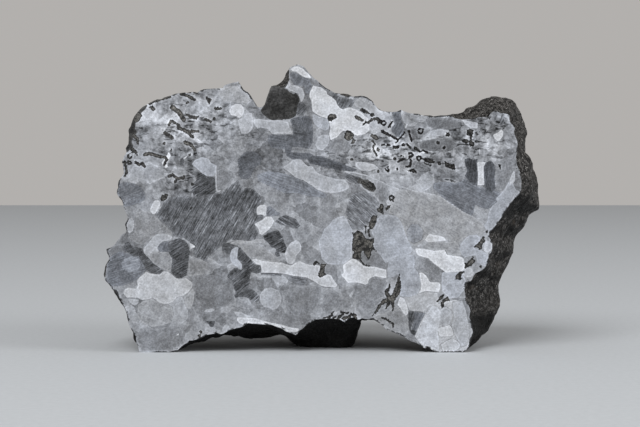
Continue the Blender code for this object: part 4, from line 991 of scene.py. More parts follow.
         (7, 17.5), (6.3, 18.3), (5.7, 19), (5.3, 19.5), (5.9, 20.1), (5.8, 21))),
        (202, 0, ((20.1, 14), (21.1, 13.5), (21.6, 12.6), (21.9, 11.6), (22.2, 10.6), (22, 9.6),
         (21.4, 9.2), (20.8, 10), (20.1, 11.2), (19.4, 11.9), (19.7, 13))),
        # right
        (215, 0, ((23.8, 26.2), (26, 26.1), (28.5, 25.6), (31.2, 25.8), (31.8, 24.6), (33.5, 24.3),
         (35.2, 24.1), (36, 23.6), (36.2, 22.2), (36.3, 21), (35.2, 20.3), (31.5, 20.1), (30.4, 20.9),
         (29, 22), (27.6, 23.1), (27.2, 23.6), (26, 24), (24.6, 24.3), (24, 25.2))),
        (216, 0, ((24.8, 20.2), (25.6, 20.1), (26.5, 19.5), (27.1, 18.5), (27.6, 17.7), (29.8, 17.6),
         (30.2, 17.2), (30.1, 16), (29.8, 15.2), (27, 15.4), (26.3, 15.4), (25.2, 15), (24.7, 15),
         (25.2, 15.8), (25.3, 17.2), (25, 18.8))),
        (200, 0, ((26.2, 28.2), (26.9, 29.4), (27.6, 30), (28.2, 29.6), (30.2, 29.3), (31, 29),
         (31.6, 28.3), (33.6, 28), (34.4, 27.6), (33, 27.9), (31.5, 28.1), (29.6, 27.9), (27.2, 27.7))),
        (203, 0, ((29.5, 6), (31, 6.5), (32.5, 7), (33.2, 6), (33.5, 4.6), (33, 4), (30, 4))),
        (194, 0, ((30.2, 2), (31.5, 2.8), (33.2, 3.6), (34.5, 2.8), (35.2, 2), (35, 1), (33.5, 0.2),
         (31, 0.2))),
        (198, 0, ((39.2, 47.8), (41.5, 47.8), (40.9, 46.6), (40.9, 44.6), (41.1, 42), (39.4, 42),
         (39.5, 44.4), (39.4, 46.2))),
        # top right
        (204, 0, ((43.1, 54.5), (44.6, 55.3), (45.2, 55.9), (45.7, 55.4), (45.6, 54.2), (44.9, 53.3),
         (44.4, 52.9), (43.6, 53.6))),
        # top middle
        (204, 0, ((-1.7, 66.8), (0.5, 66.3), (1.6, 65.4), (1.8, 64.6), (2.9, 64), (3.9, 63.1), (4.3, 62),
         (5, 61.2), (5.8, 60.9), (6.6, 61.3), (7.8, 61.3), (9, 60.9), (10.2, 60.2), (11.2, 59.2),
         (12, 58.8), (12.2, 57), (12.4, 55.6), (11.4, 54.9), (9.8, 54.4), (9, 54.4), (8.4, 54.9),
         (7.6, 55.6), (6.6, 55.5), (5.8, 55.6), (5.2, 55), (4.2, 53.9), (2.6, 53.2), (2.3, 55),
         (2.6, 56.2), (2.4, 57.5), (1.8, 58.6), (0, 59.2), (-1.9, 60.4), (-2, 61.5), (-2.2, 63),
         (-2.7, 64.2), (-2.5, 65.2))),
        (206, 0, ((-7.5, 70.8), (-6.6, 71.4), (-5.4, 71.6), (-4.2, 71), (-3.4, 70.2), (-2.4, 69.2),
         (-2.2, 68.6), (-3.6, 68.8), (-4.8, 69.4), (-5.8, 70.2), (-6.8, 70.4))),
        (199, 0, ((-22.7, 60.4), (-22.2, 61.6), (-21.2, 62.2), (-19.8, 62.2), (-19, 61.4), (-18.9, 60.2),
         (-19.4, 59.2), (-20.2, 58.7), (-20.9, 59.2), (-22.2, 59.4))),
        # middle left
        (200, 0, ((-15.9, 36), (-15.7, 36.5), (-14.8, 37.1), (-13.9, 37.1), (-13.3, 36.7), (-13.4, 35.6),
         (-13.6, 34.2), (-14.8, 34.7), (-15.7, 34.6))),
        (201, 0, ((-13.6, 34.1), (-12, 34.1), (-11.5, 33), (-12, 31.8), (-12.6, 31), (-13.4, 30.4),
         (-14, 29.8), (-14.6, 29.5), (-15.2, 29.9), (-15.3, 30.8), (-15.6, 31.4), (-16.5, 32.2),
         (-15.2, 32.9), (-14.4, 33.3))),
        (198, 0, ((-40.2, 38.2), (-39.8, 37.4), (-40.2, 36.4), (-40.9, 35.2), (-41.4, 34.6), (-42, 34.9),
         (-42.5, 35.6), (-42.4, 36.4), (-41.8, 37.6), (-41.2, 38.3))),
        (204, 0, ((-39.6, 47.6), (-38.6, 46.2), (-37.9, 46.4), (-38.2, 47.6), (-37.6, 48.6),
         (-37.2, 49.4), (-37.8, 50.4), (-38.2, 49.4))),
        (190, 0, ((-34.2, 48.4), (-33.9, 48.9), (-33.2, 49.3), (-33.4, 48.7))),
    )),
    ("nodule", 49, 0.0, 0.05, (
        # the dark wedge between the notch and the nodule
        (50, 0, ((-9.3, 69.9), (-8.1, 70), (-7.7, 68.2), (-8.3, 66.6), (-10.5, 65.2), (-13.2, 64.6),
         (-12.6, 66.2), (-11.6, 67.2), (-10.3, 68.4))),
        # the black end of a grain at the middle
        (70, -30, ((9.7, 43.9), (10.9, 43.4), (11.9, 43.4), (13.4, 42.4), (14.1, 41.2), (13.4, 40.3),
         (12.2, 40.6), (11.1, 41.2), (10.4, 42.2), (9.2, 42.6))),
        # the rust left along the rim at the top left
        (44, 0, ((-49.4, 50.4), (-49.2, 52), (-48.6, 54), (-47.8, 56.4), (-47, 58.6), (-45.8, 60.4),
         (-44.4, 61.6), (-43, 62), (-43.6, 60.9), (-44.8, 59.8), (-45, 58.4), (-46, 57.6), (-46.2, 56),
         (-45.6, 55), (-46.6, 54.2), (-47, 52.6), (-46.6, 51.8), (-47.4, 50.8), (-48.2, 50.2))),
        (49, 0, ((-14.8, 60.6), (-13.9, 62), (-13.4, 63.6), (-12.8, 65.2), (-12.3, 66.4), (-11.4, 66.8),
         (-9.6, 66.3), (-8.4, 65.9), (-7.6, 65.2), (-6.6, 64.6), (-6, 65), (-5.4, 64.2), (-5, 63),
         (-5.6, 62.2), (-5.8, 60.6), (-6, 59.4), (-7.2, 58.6), (-8.6, 58.4), (-10.2, 58.3), (-12, 58.2),
         (-13.4, 59), (-14.4, 59.9))),
    )),
)


def grain_fields(points):
    """For each layer the distance to its grains. For all points the step from the layer's level to the
    grain's own, and the brush marks' direction."""
    fields = {layer[0]: np.full(len(points), FAR) for layer in LAYERS}
    fields["step"] = np.zeros(len(points))
    fields["angle"] = np.full(len(points), 0.6)
    for name, level, blue, brush, grains in LAYERS:
        for own, angle, outline in grains:
            corners = np.array(outline, float)
            near = around(points, corners, FAR)
            distance = distance_to(points[near], corners)
            fields[name][near] = np.minimum(fields[name][near], distance)
            inner = near[distance < SPILL]
            fields["step"][inner] = (own - level) / 255
            fields["angle"][inner] = np.radians(angle)
    return fields


# Clouds in the ground: x, z, half width, half height, how much lighter, and how much more mottled.
CLOUDS = (
    (-36, 58, 11, 6, 14, 1.0),
    (-42, 59, 4, 2.5, 18, -0.4),
    (-36.5, 55, 3, 2.2, 34, 0.2),
    (-30.5, 53, 2.5, 1.5, 28, 0.2),
    (-39.5, 62, 3, 1.2, -28, 0.3),
    (-27, 60, 3, 2.5, 16, 0.2),
    (-32, 46, 2, 2, 16, 0.4),
    (-30, 66, 5, 1.5, -34, 0.6),
    (-21, 67.5, 3, 1.2, -34, 0.3),
    (-45.6, 56.4, 1.6, 0.8, -50, 0.3),
    (-43.6, 55.6, 1.5, 0.7, -42, 0.3),
    (-41.8, 54.7, 1.3, 0.6, -50, 0.3),
    (-46, 53, 2.2, 2.4, -50, 0.5),
    (-42.6, 56.4, 2, 1.4, -26, 0.2),
    (-21, 63, 5, 3, 6, 0.5),
    (-23, 57, 6, 2.5, -32, 0.4),
    (-16, 53.6, 4, 3, -50, 0.4),
    (-15.4, 60, 2, 1.6, -34, 0.2),
    (-3.5, 61.8, 1.8, 2.4, -30, 0.3),
    (-33.4, 49.8, 6, 2.4, -46, 0.9),
    (-34, 42.2, 4, 4, -42, 0.8),
    (-43, 45, 7, 4, 18, 0.3),
    (-16, 46, 14, 4, -18, 0.3),
    (-13, 43, 7, 3, -24, 0.1),
    (-6, 39.5, 5, 2.5, -22, 0.1),
    (-3.8, 29.4, 3.6, 2.6, -38, 0.0),
    (-2, 47, 10, 4, -16, 0.2),
    (14, 50, 14, 5, 6, 0.8),
    (13.5, 51, 4, 3, 22, 0.2),
    (19, 46, 3, 2, 24, 0.2),
    (20.6, 43.8, 2.4, 1.6, 36, 0.0),
    (31, 44, 3.6, 1.5, -32, 0.2),
    (28, 49.6, 3.8, 1.4, 48, 0.1),
    (14.4, 49.9, 5, 1.4, 26, 0.2),
    (23.4, 59, 2.4, 1.2, -28, 0.2),
    (0, 51.5, 3, 2.5, -22, 0.2),
    (-9.8, 50.2, 2, 1, -26, 0.0),
    (-0.6, 50.4, 1.6, 1, -26, 0.0),
    (-9.4, 40.2, 3, 1.2, -24, 0.0),
    (-10, 36, 4, 2.5, -8, 0.0),
    (-27, 54, 3.5, 2.5, -14, 0.3),
    (-9, 38, 4, 1.8, -16, 0.0),
    (10.6, 53, 3.2, 2, -46, 0.3),
    (21, 54, 3, 3, -34, 0.5),
    (28, 48, 8, 3.5, -30, 0.5),
    (37, 54, 3, 3, -26, 0.6),
    (38, 54, 10, 6, -8, 0.9),
    (44.4, 58.4, 3.4, 3, -38, 0.6),
    (45, 60, 2, 1.6, -34, 0.4),
    (41.5, 55, 1.8, 1.3, 36, 0.0),
    (42, 52.6, 2.3, 1.8, 66, 0.0),
    (44.5, 51.6, 1.8, 1.5, 44, 0.0),
    (47, 51.5, 2.2, 0.9, 60, 0.0),
    (45, 49.2, 1.2, 1.6, 40, 0.2),
    (46, 44, 5, 8, -12, 0.4),
    (32, 35, 14, 8, 6, 0.0),
    (-22, 15, 12, 7, -8, 0.2),
    (-17, 11, 3.4, 1.2, -24, 0.1),
    (-36.6, 8, 1.8, 1.4, 26, 0.0),
    (-45.6, 38, 2.4, 1.6, -22, 0.1),
    (-27.6, 25.8, 2, 1.4, 22, 0.1),
    (-50, 20, 6, 6, -22, 0.2),
    (2, 14, 10, 6, 6, 0.2),
)


def cloud_fields(points):
    """The sum of soft round clouds, rise exp(-(off / radius)^2), for the ground between the grains."""
    ground = np.zeros(len(points))
    busy = np.zeros(len(points))
    for x, z, wide, high, rise, mottle in CLOUDS:
        off = ((points[:, 0] - x) / wide) ** 2 + ((points[:, 1] - z) / high) ** 2
        ground += rise / 255 * np.exp(-off)
        busy += mottle * np.exp(-off)
    return {"ground": ground, "busy": busy}


# Dark inclusions, as outlines.
INCLUSIONS = (
    # lower middle
    ((0.2, 22.2), (1.5, 22.3), (0.9, 20), (1.4, 19.7), (0.6, 19), (-0.3, 19), (-0.2, 20.2), (0.1, 21.2)),
    ((17.4, 13.6), (17.8, 14.4), (18.8, 14.4), (19, 13.4), (18.4, 12.8), (17.6, 12.9)),
    ((8.2, 30.2), (8.6, 29.6), (9, 30.4), (9.6, 30.6), (10.6, 30), (11, 29.4), (11.6, 28.4), (13.4, 28.6),
     (13.5, 28.2), (13.2, 27), (13.3, 26.2), (12.8, 25.4), (12.6, 24.2), (12.1, 23.5), (11.3, 24.6),
     (10.8, 25.8), (10.3, 25.2), (10.2, 24), (10.3, 23.4), (9.6, 23.4), (8.2, 23.8), (8.1, 24.4),
     (8.7, 25.1), (8.1, 25.8), (8.2, 27.5), (8.4, 29)),
    ((13.3, 34.4), (14.2, 34.2), (14.1, 33), (13.8, 32.2), (13.3, 31.2), (12.4, 31), (12.2, 31.9),
     (12.4, 32.8), (12.8, 33.7)),
    ((15.6, 37.5), (15.9, 36.4), (15.6, 35.8), (16, 34.8), (15.4, 34.9), (14.4, 35.6), (14.2, 36.1),
     (14.9, 36.3), (15.1, 37.1)),
    ((16.4, 36.2), (16.9, 36.8), (17.7, 36.9), (17.3, 36.2), (16.6, 35.7)),
    # lower right
    ((30.6, 12.9), (31.9, 14.1), (32.6, 13.1), (31.6, 12.9), (31.1, 12.6), (31, 11.8), (30.6, 11.1),
     (30.3, 11.8), (30.2, 12.5)),
    ((34.1, 18.5), (34, 19.4), (34.6, 20), (35.4, 20.3), (36.2, 20.4), (35.6, 19.8), (35.2, 19.3),
     (35.8, 18.5), (34.9, 18.4)),
    ((36.1, 21.1), (36.5, 22.1), (36, 22.6), (36.9, 22.3), (37.7, 23.4), (38.2, 24.1), (38.5, 24),
     (38.3, 23.5), (38.8, 23.1), (38.3, 22.3), (37.8, 21.6), (37.4, 22), (36.9, 21.4)),
    ((38.6, 26.5), (39.4, 27.3), (40.2, 28.1), (40.9, 29.2), (41.3, 29), (40.9, 28.4), (41.6, 28.2),
     (40.9, 27.4), (40.3, 26.8), (40.8, 26.2), (39.8, 25.9), (39.6, 26.5)),
    # right
    ((44.6, 47.2), (45.1, 47.1), (45.2, 46.2), (44.9, 45.9)),
    ((31.2, 47.9), (31.8, 47.6), (32.5, 47.1), (33.4, 47.2), (33.6, 46.6), (34, 46.1), (33, 45.9),
     (32.2, 46.3), (31.4, 46.6), (31.2, 47.1)),
    ((36.7, 55.8), (37.3, 56), (38.3, 55.7), (38.2, 55.2), (37.9, 54), (37.8, 53), (38.4, 52.6),
     (38.3, 51.6), (37.3, 51.8), (37.2, 52.6), (37.6, 53.2), (37.4, 54.3), (36.7, 54.2)),
    ((35.4, 53), (35.9, 53.6), (36.8, 53.4), (37.2, 52.7), (36.4, 52.5)),
    ((16.1, 46.1), (16.9, 45.9), (16.8, 46.4), (17.4, 47), (17, 46.2), (17.5, 45.8), (17.3, 45.2),
     (16.8, 45.2)),
    ((21.8, 45.6), (22.6, 45.9), (23.4, 46), (24.1, 45.5), (24, 45), (23.2, 45.2)),
    ((25.6, 48.6), (26.2, 48.8), (27.4, 48.4), (28.6, 48), (28.4, 47.5), (27.2, 47.5), (26.4, 47.8)),
    # top
    ((1.9, 58.8), (2.2, 59.5), (3, 59.7), (3.9, 59.5), (4.2, 58.9), (3.6, 58.5), (2.9, 58), (2.2, 58.1)),
    ((9.9, 61.1), (11, 61), (12.2, 60.3), (12.4, 59.9), (11, 60), (10.1, 60.5)),
    ((8.6, 59.3), (9.4, 59.3), (10, 58.9), (10.9, 58.3), (10.6, 57.8), (9.8, 58.1), (9, 58.5)),
    ((6.2, 54.8), (6.6, 55.4), (7.2, 55.6), (8, 55.1), (8.5, 54.6), (8.1, 53.6), (7.2, 53.2), (6.4, 53.5),
     (6.1, 54.1)),
    ((7.7, 52.4), (8.2, 53.4), (8.9, 53.3), (8.5, 52.5)),
    ((12.5, 54.2), (12.9, 54.8), (13.5, 54.5), (14, 54.6), (14.5, 53.6), (14, 53.2), (13.2, 53.8)),
    ((14.1, 50.6), (14.8, 50.4), (14.9, 51), (14.3, 51.6)),
    # top left
    ((-46.2, 60.2), (-45, 60.2), (-44.4, 59.4), (-45, 58.2), (-45.8, 57.6), (-46.6, 58)),
    ((-39.1, 55), (-38.6, 55.5), (-37.8, 54.8), (-36.6, 54.2), (-36.4, 53.6), (-37, 53.4), (-37.6, 54),
     (-38.6, 54.4)),
    ((-33.8, 60), (-32.4, 59.4), (-30.2, 59.2), (-30.8, 58.4), (-32.4, 58.6)),
    ((-42.8, 61.4), (-41.8, 61.8), (-41, 61), (-41.4, 60.5)),
    ((-28.6, 64.4), (-28, 63.8), (-27, 63.4), (-27.6, 62.2), (-28.2, 63)),
    ((-39.8, 38), (-39.6, 39.2), (-38.8, 39.8), (-38, 39.6), (-38.4, 38.4)),
)

# Dark inclusions, as strokes: half widths at the start and at the end, and the line.
STROKES = (
    # the star at the lower middle and the hook beside it
    (0.5, 0.12, ((18.2, 13.6), (18.8, 15.2), (19.4, 17.2), (19.9, 19.6))),
    (0.45, 0.1, ((18.4, 13.8), (19.6, 14.8), (20, 16.5), (20, 18.5))),
    (0.4, 0.1, ((17.3, 13.8), (16.9, 15), (17.3, 16.2), (17.4, 17))),
    (0.3, 0.1, ((16.8, 14.2), (16.4, 15.4), (16.9, 16.2))),
    (0.6, 0.1, ((18, 13.5), (16, 12.9), (15, 11.8), (14.3, 10.6), (13.2, 9.2))),
    (0.45, 0.08, ((18.2, 13.4), (18.3, 12), (18.2, 10.4))),
    (0.3, 0.1, ((17.3, 12.4), (16.4, 11))),
    (0.25, 0.15, ((-1.4, 22.2), (-0.9, 22.8), (-0.5, 22.7), (-0.2, 22.1))),
    # round the big inclusion
    (0.16, 0.06, ((13.2, 26.4), (14, 25.2))),
    (0.16, 0.06, ((10, 23.3), (11.2, 22), (12.6, 21.7))),
    (0.2, 0.1, ((11.4, 31.7), (11.4, 30))),
    (0.22, 0.12, ((12, 30.6), (12.2, 29.8), (12.5, 29.2))),
    (0.12, 0.12, ((18, 38.3), (18.4, 37.9))),
    # feet and arch
    (0.2, 0.12, ((15.5, 8.7), (16.5, 8.5), (17.4, 7.8), (18.3, 7.3), (18.3, 6.4))),
    (0.3, 0.15, ((30.8, 14.3), (29.4, 12.8))),
    # rust round the lump
    (0.2, 0.1, ((1, 8.7), (1.8, 8.9))),
    (0.3, 0.12, ((2.2, 8.8), (2.9, 9.5), (3.4, 10.3))),
    (0.2, 0.2, ((3.3, 8.7), (3.9, 9))),
    (0.4, 0.15, ((4.4, 8.2), (4.9, 9.1), (5.7, 9.5))),
    (0.15, 0.1, ((5.2, 10.2), (6.1, 10))),
    (0.4, 0.2, ((6, 8.5), (7.2, 8.9), (7.5, 8.2))),
    (0.4, 0.3, ((7.9, 9.6), (8.9, 9.2), (9, 8.3))),
    (0.2, 0.1, ((6.6, 9.8), (7.3, 10.2))),
    # right
    (0.12, 0.08, ((31.2, 43.4), (32.6, 43.2), (34, 42.7))),
    (0.22, 0.22, ((19.5, 47.9), (20.7, 48.5))),
    (0.15, 0.1, ((20.3, 49.3), (21, 49.2))),
    (0.2, 0.16, ((22.2, 49.8), (22.8, 50.1), (23.2, 49.7), (22.9, 49.2), (22.3, 49.3), (22.2, 48.6),
     (22.7, 48.2), (22.6, 47), (22.2, 46.6), (21.5, 46.6))),
    (0.12, 0.08, ((26, 47.6), (27.6, 46.8))),
    # top
    (0.2, 0.12, ((11.5, 57.8), (10.6, 56.9))),
    (0.28, 0.24, ((12.1, 57.6), (12.8, 58.3), (13.6, 58.6), (14.6, 58.4), (15.3, 58), (14.6, 57.6))),
    (0.25, 0.2, ((17.2, 56.5), (18, 57.8))),
    (0.36, 0.18, ((15.6, 55.4), (17.8, 54.2), (19.5, 53.3))),
    (0.2, 0.15, ((13, 53.1), (13.8, 52.1))),
    (0.26, 0.12, ((13.4, 51.8), (13.3, 50.9), (13.9, 50), (14.2, 49.4))),
    (0.18, 0.12, ((15.4, 52), (16.2, 52.1))),
    (0.18, 0.12, ((16.8, 52), (17.6, 52))),
    (0.34, 0.3, ((18.5, 51.5), (19.5, 51.5))),
    (0.14, 0.12, ((19, 52.6), (21.2, 55.2))),
    (0.25, 0.2, ((21.8, 52.2), (22.6, 51.3))),
    (0.22, 0.18, ((22.2, 55.6), (22.8, 53))),
    (0.25, 0.2, ((23.7, 51.3), (24.9, 50.4))),
    (0.22, 0.18, ((25.6, 50.6), (26.7, 50.2))),
    # top left
    (0.25, 0.2, ((-48.9, 47.8), (-48.5, 46.6), (-48.2, 45.2), (-48.8, 44.2))),
    (0.4, 0.2, ((-46.6, 54.4), (-45.6, 53.6), (-45.4, 52.2))),
    (0.35, 0.2, ((-46.9, 51), (-46, 50.4), (-45.6, 49.4))),
    (0.35, 0.25, ((-42.6, 62.4), (-39.8, 63.4), (-37.4, 64))),
    (0.32, 0.25, ((-37.7, 57), (-37.2, 58), (-36.6, 57.8), (-35.2, 57))),
    (0.43, 0.28, ((-35.2, 56.3), (-33.4, 55.4), (-31.6, 53.9))),
    (0.36, 0.28, ((-33.4, 55.4), (-30.4, 55.4))),
    (0.58, 0.49, ((-36.8, 61.4), (-35.2, 60.2), (-34, 58.4))),
    (0.36, 0.28, ((-26, 61.1), (-24.8, 61.1))),
    (0.32, 0.25, ((-28.6, 58.4), (-27.2, 57.9))),
    (0.43, 0.28, ((-34.5, 64.8), (-32.8, 64.2), (-31.2, 63.3))),
    (0.46, 0.28, ((-33.6, 52.6), (-32.4, 52.2), (-31.8, 51.6), (-31.3, 50.8))),
    (0.43, 0.22, ((-43.7, 49.6), (-42.8, 49.9), (-41.6, 49.6), (-40.4, 49.2), (-38.6, 48.9),
     (-38.2, 48.4), (-38.9, 47))),
    (0.36, 0.28, ((-46, 47.7), (-45.2, 47.1), (-44.4, 47.4), (-43.8, 46.6))),
    (0.36, 0.28, ((-37.6, 44.2), (-36.8, 44.6), (-36, 43.9), (-34.2, 43.6), (-34, 44.2))),
    # in the dark end of the middle grain
    (0.3, 0.24, ((10.6, 42.7), (11.6, 42.2), (12.4, 41.4), (12.9, 40.9))),
    (0.26, 0.2, ((12.3, 42.8), (13.2, 42.1), (13.6, 41.2))),
)

# Light threads along grain edges, as strokes.
THREADS = (
    (0.14, 0.14, ((-26, 46.5), (-26, 43.8), (-25.9, 41), (-25.6, 40.4), (-24.9, 40.6))),
    (0.1, 0.1, ((17.6, 43), (20.4, 41.6), (23.5, 40.6), (27.4, 39.9), (30, 39.2), (33, 37.2), (36, 35.2),
     (38.6, 34), (40.8, 32.2))),
    (0.1, 0.05, ((21.5, 40.6), (23.4, 38.4))),
    (0.14, 0.1, ((39.8, 50.8), (39.9, 49.6))),
    (0.2, 0.16, ((21.4, 56.4), (21.7, 57.2))),
    (0.12, 0.06, ((-46, 15.9), (-44.4, 15.8), (-42.9, 15.5))),
    (0.14, 0.1, ((6.2, 45.4), (9.2, 45), (12.1, 44.2), (15, 43), (17.5, 41.7), (19.6, 41.1))),
)

# Single dark dots: x, z and radius.
DOTS = (
    (29.8, 47.4, 0.4), (31.9, 54.6, 0.5), (29.4, 52.6, 0.4), (30.9, 51.4, 0.35), (14.5, 45.4, 0.3),
    (19.3, 46, 0.3), (18.6, 48.6, 0.35), (7.9, 48.4, 0.3), (13, 59.5, 0.45), (20.8, 52.1, 0.4),
    (40.2, 21.6, 0.3), (41.8, 30.3, 0.25), (-26.4, 58.6, 0.28), (-33, 62.6, 0.32), (-32.5, 49.6, 0.34),
    (-38.9, 52.4, 0.34), (-37.2, 50.8, 0.32), (-36.2, 42.9, 0.36), (-31.9, 42.2, 0.32),
    (-32.2, 36.3, 0.3), (-30.2, 4.2, 0.36), (-29.9, 5.2, 0.3),
)

# Small dark rings: x, z and radius.
RINGS = ((17.9, 38.8, 0.5), (15.9, 57.5, 0.5), (24.7, 48.7, 0.5), (25.1, 55.5, 0.6),
    (-47.5, 49.2, 0.5), (-46.7, 50.6, 0.45), (-47.6, 47.6, 0.4))
RING_LINE = 0.17  # half the width of a ring's line
WIDEST = 0.6  # the largest half width of a stroke


def inclusion_fields(points):
    """Each point's distance to the nearest inclusion and to the nearest light thread."""
    dark = np.full(len(points), FAR)
    light = np.full(len(points), FAR)
    for outline in INCLUSIONS:
        corners = np.array(outline, float)
        near = around(points, corners, FAR)
        dark[near] = np.minimum(dark[near], distance_to(points[near], corners))
    for field, strokes in ((dark, STROKES), (light, THREADS)):
        for start, end, line in strokes:
            stroke = np.array(line, float)
            near = around(points, stroke, FAR + WIDEST)
            field[near] = np.minimum(field[near], distance_to_stroke(points[near], stroke, start, end))
    for x, z, radius in DOTS:
        dark = np.minimum(dark, np.hypot(points[:, 0] - x, points[:, 1] - z) - radius)
    for x, z, radius in RINGS:
        off = np.hypot(points[:, 0] - x, points[:, 1] - z)
        dark = np.minimum(dark, np.abs(off - radius) - RING_LINE)
    return {"inclusion": dark, "thread": light}


def rim_field(points, rows, columns):
    """Each point's distance to the rim. Only the grid's outer RIM_CELLS rows and columns are measured:
    the rest is further away than FAR."""
    row, column = np.divmod(np.arange(rows * columns), columns)
    cells = np.minimum(np.minimum(row, rows - 1 - row), np.minimum(column, columns - 1 - column))
    near = np.flatnonzero(cells < RIM_CELLS)
    field = np.where(np.arange(len(points)) < rows * columns, FAR, 0)
    field[near] = np.minimum(np.abs(distance_to(points[near], face_rim()[:-1])), FAR)
    return {"rim": field}


def face_mesh(name):
    """The flat grid in front. Behind it the rim is drawn in a little and closed in one point, so that it
    is a thin lid. Each point then gets the fields that the material reads."""
    grid = face_grid()
    rows, columns = grid.shape[:2]
    number = np.arange(rows * columns).reshape(rows, columns)
    rim = np.concatenate([number[0, :-1], number[:-1, -1], number[-1, :0:-1], number[:0:-1, 0]])
    count = len(rim)
    flat = grid.reshape(-1, 2)
    middle = np.array(TIP)
    back = np.concatenate([middle + (flat[rim] - middle) * LID_SHARE, middle[None]])
    points = np.concatenate([flat, back])
    depth = np.concatenate([np.zeros(len(flat)), np.full(len(back), EDGE)])
    places = framed(np.stack([points[:, 0], depth, points[:, 1]], axis=1))

    front = np.stack([number[:-1, :-1], number[:-1, 1:], number[1:, 1:], number[1:, :-1]], axis=-1)
    ring = len(flat) + np.arange(count)
    side = np.stack([rim, ring, np.roll(ring, -1), np.roll(rim, -1)], axis=1)
    lid = drawn_together(count, len(points) - 1, len(flat), False)
    low = flat.min(axis=0)
    room = LID_ROOM + (1 - LID_ROOM) * (points - low) / (flat.max(axis=0) - low)
    share = np.arange(count) / count
    after = share + 1 / count
    # the lid's edge takes the lower half of its room in the UV map, its back most of the upper half
    strip = [np.full(count, part * LID_ROOM) for part in (0, 0.5, 0.55, 0.9)]
    side_uv = np.stack([share, strip[0], share, strip[1], after, strip[1], after, strip[0]], axis=-1)
    lid_uv = np.stack([share, strip[3], share, strip[2], after, strip[2]], axis=-1)
    mesh = mesh_from(
        name,
        places,
        np.concatenate([front.reshape(-1, 4), side]),
        lid,
        np.concatenate([room[front].ravel(), side_uv.ravel()]),
        lid_uv,
    )
    flat_faces = np.arange(len(mesh.polygons)) >= front.shape[0] * front.shape[1]
    mesh.polygons.foreach_set("use_smooth", flat_faces)
    fields = grain_fields(points) | cloud_fields(points) | inclusion_fields(points)
    fields |= rim_field(points, rows, columns)
    for key, values in fields.items():
        mesh.attributes.new(key, "FLOAT", "POINT").data.foreach_set("value", values.astype("f4"))
    return mesh


def mixed(tree, amount, a, b):
    """a where amount is 0, b where it is 1."""
    return add(tree, "ShaderNodeMix", {0: amount, 2: a, 3: b}, data_type="FLOAT").outputs[0]


def plus(tree, *values):
    """The sum of the values."""
    total = values[0]
    for value in values[1:]:
        total = sums(tree, "ADD", total, value)
    return total


def ripple(tree, place, size, detail, roughness=0.55):
    """Clouds like those of noise, from -0.5 to 0.5 with a mean of 0."""
    return scaled(tree, 1.0, noise(tree, place, size, detail, roughness), -0.5)


# Cells of the ground: their size, how wide a border each has as a share of it, and how light that is.
CELLS = ((4.6, 0.06, 0.045), (2.1, 0.12, 0.025))
BEND = 1.5 * MM  # how far noise moves the cells' borders, and how wide its own clouds are


def ground_level(tree, place, broad, middling):
    """The grey level between the drawn grains: cells of two sizes, each with its own grey, plus clouds,
    plus busy times blotches with slanting dark dashes. Also gives the cells' light borders and the small
    cells' greys, since both show through the drawn grains."""
    bend = {"Vector": place, "Scale": 1 / BEND, "Detail": 3.0}
    bend = {0: add(tree, "ShaderNodeTexNoise", bend).outputs["Color"], 1: (BEND,) * 3, 2: place}
    bent = add(tree, "ShaderNodeVectorMath", bend, operation="MULTIPLY_ADD").outputs[0]
    greys = []
    borders = []
    for size, width, light in CELLS:
        inputs = {"Vector": bent, "Scale": 1 / (size * MM)}
        cell = add(tree, "ShaderNodeTexVoronoi", inputs, feature="F1").outputs["Color"]
        greys.append(add(tree, "ShaderNodeSeparateColor", {0: cell}).outputs[0])
        off = add(tree, "ShaderNodeTexVoronoi", inputs, feature="DISTANCE_TO_EDGE").outputs["Distance"]
        borders.append(ramp(tree, off, 0.0, width, light, 0.0))
    large, small = greys
    borders = plus(tree, *borders)
    slant = {"Vector": place, "Rotation": (0, 0.55, 0), "Scale": (0.35, 1, 1)}
    dashes = noise(tree, add(tree, "ShaderNodeMapping", slant).outputs[0], 0.8, 3)
    blotches = plus(
        tree,
        ramp(tree, middling, -0.09, 0.09, -0.09, 0.09),
        scaled(tree, 0.5, broad),
        ramp(tree, dashes, 0.56, 0.62, 0.04, -0.28),
    )
    busy = read(tree, "busy")
    calm = scaled(tree, -1.0, busy, 1.0)
    level = plus(
        tree,
        0.44,
        read(tree, "ground"),
        scaled(tree, 0.3, broad),
        scaled(tree, 0.3, middling),
        borders,
        scaled(tree, 0.2, large),
        scaled(tree, 0.1, times(tree, small, calm)),
        times(tree, busy, blotches),
    )
    return level, borders, small


def grain_levels(tree, level, wobble, broad, middling, borders, small):
    """Each layer of grains laid over the level. Inside an outline, whose distance has the wobble added,
    it becomes the layer's level plus the grain's step and a little of the ground's clouds. A grain is
    lighter towards its border, which is a dark line. Light threads come last. Also gives how blue and
    how strongly brushed the iron is."""
    step = read(tree, "step")
    blue = 0.028
    brush = 0.0
    for layer, grey, layer_blue, layer_brush, _ in LAYERS:
        distance = plus(tree, read(tree, layer), scaled(tree, 0.55, wobble))
        own = plus(
            tree,
            step,
            grey / 255,
            scaled(tree, 0.32, middling),
            scaled(tree, 0.24, broad),
            scaled(tree, 0.5, borders),
            scaled(tree, 0.05, small, -0.035),
        )
        inside = ramp(tree, distance, -0.05, 0.05, 1.0, 0.0)
        level = mixed(tree, inside, level, own)
        light = ramp(tree, distance, -0.6, -0.1, 0.015, 0.065)
        line = ramp(tree, sums(tree, "ABSOLUTE", distance), 0.02, 0.12, 0.035, 0.0)
        level = plus(tree, level, times(tree, light, inside), scaled(tree, -1.0, line))
        blue = mixed(tree, inside, blue, layer_blue)
        brush = mixed(tree, inside, brush, layer_brush)
    thread = plus(tree, read(tree, "thread"), scaled(tree, 0.3, wobble))
    return mixed(tree, ramp(tree, thread, -0.04, 0.08, 0.9, 0.0), level, 0.8), blue, brush


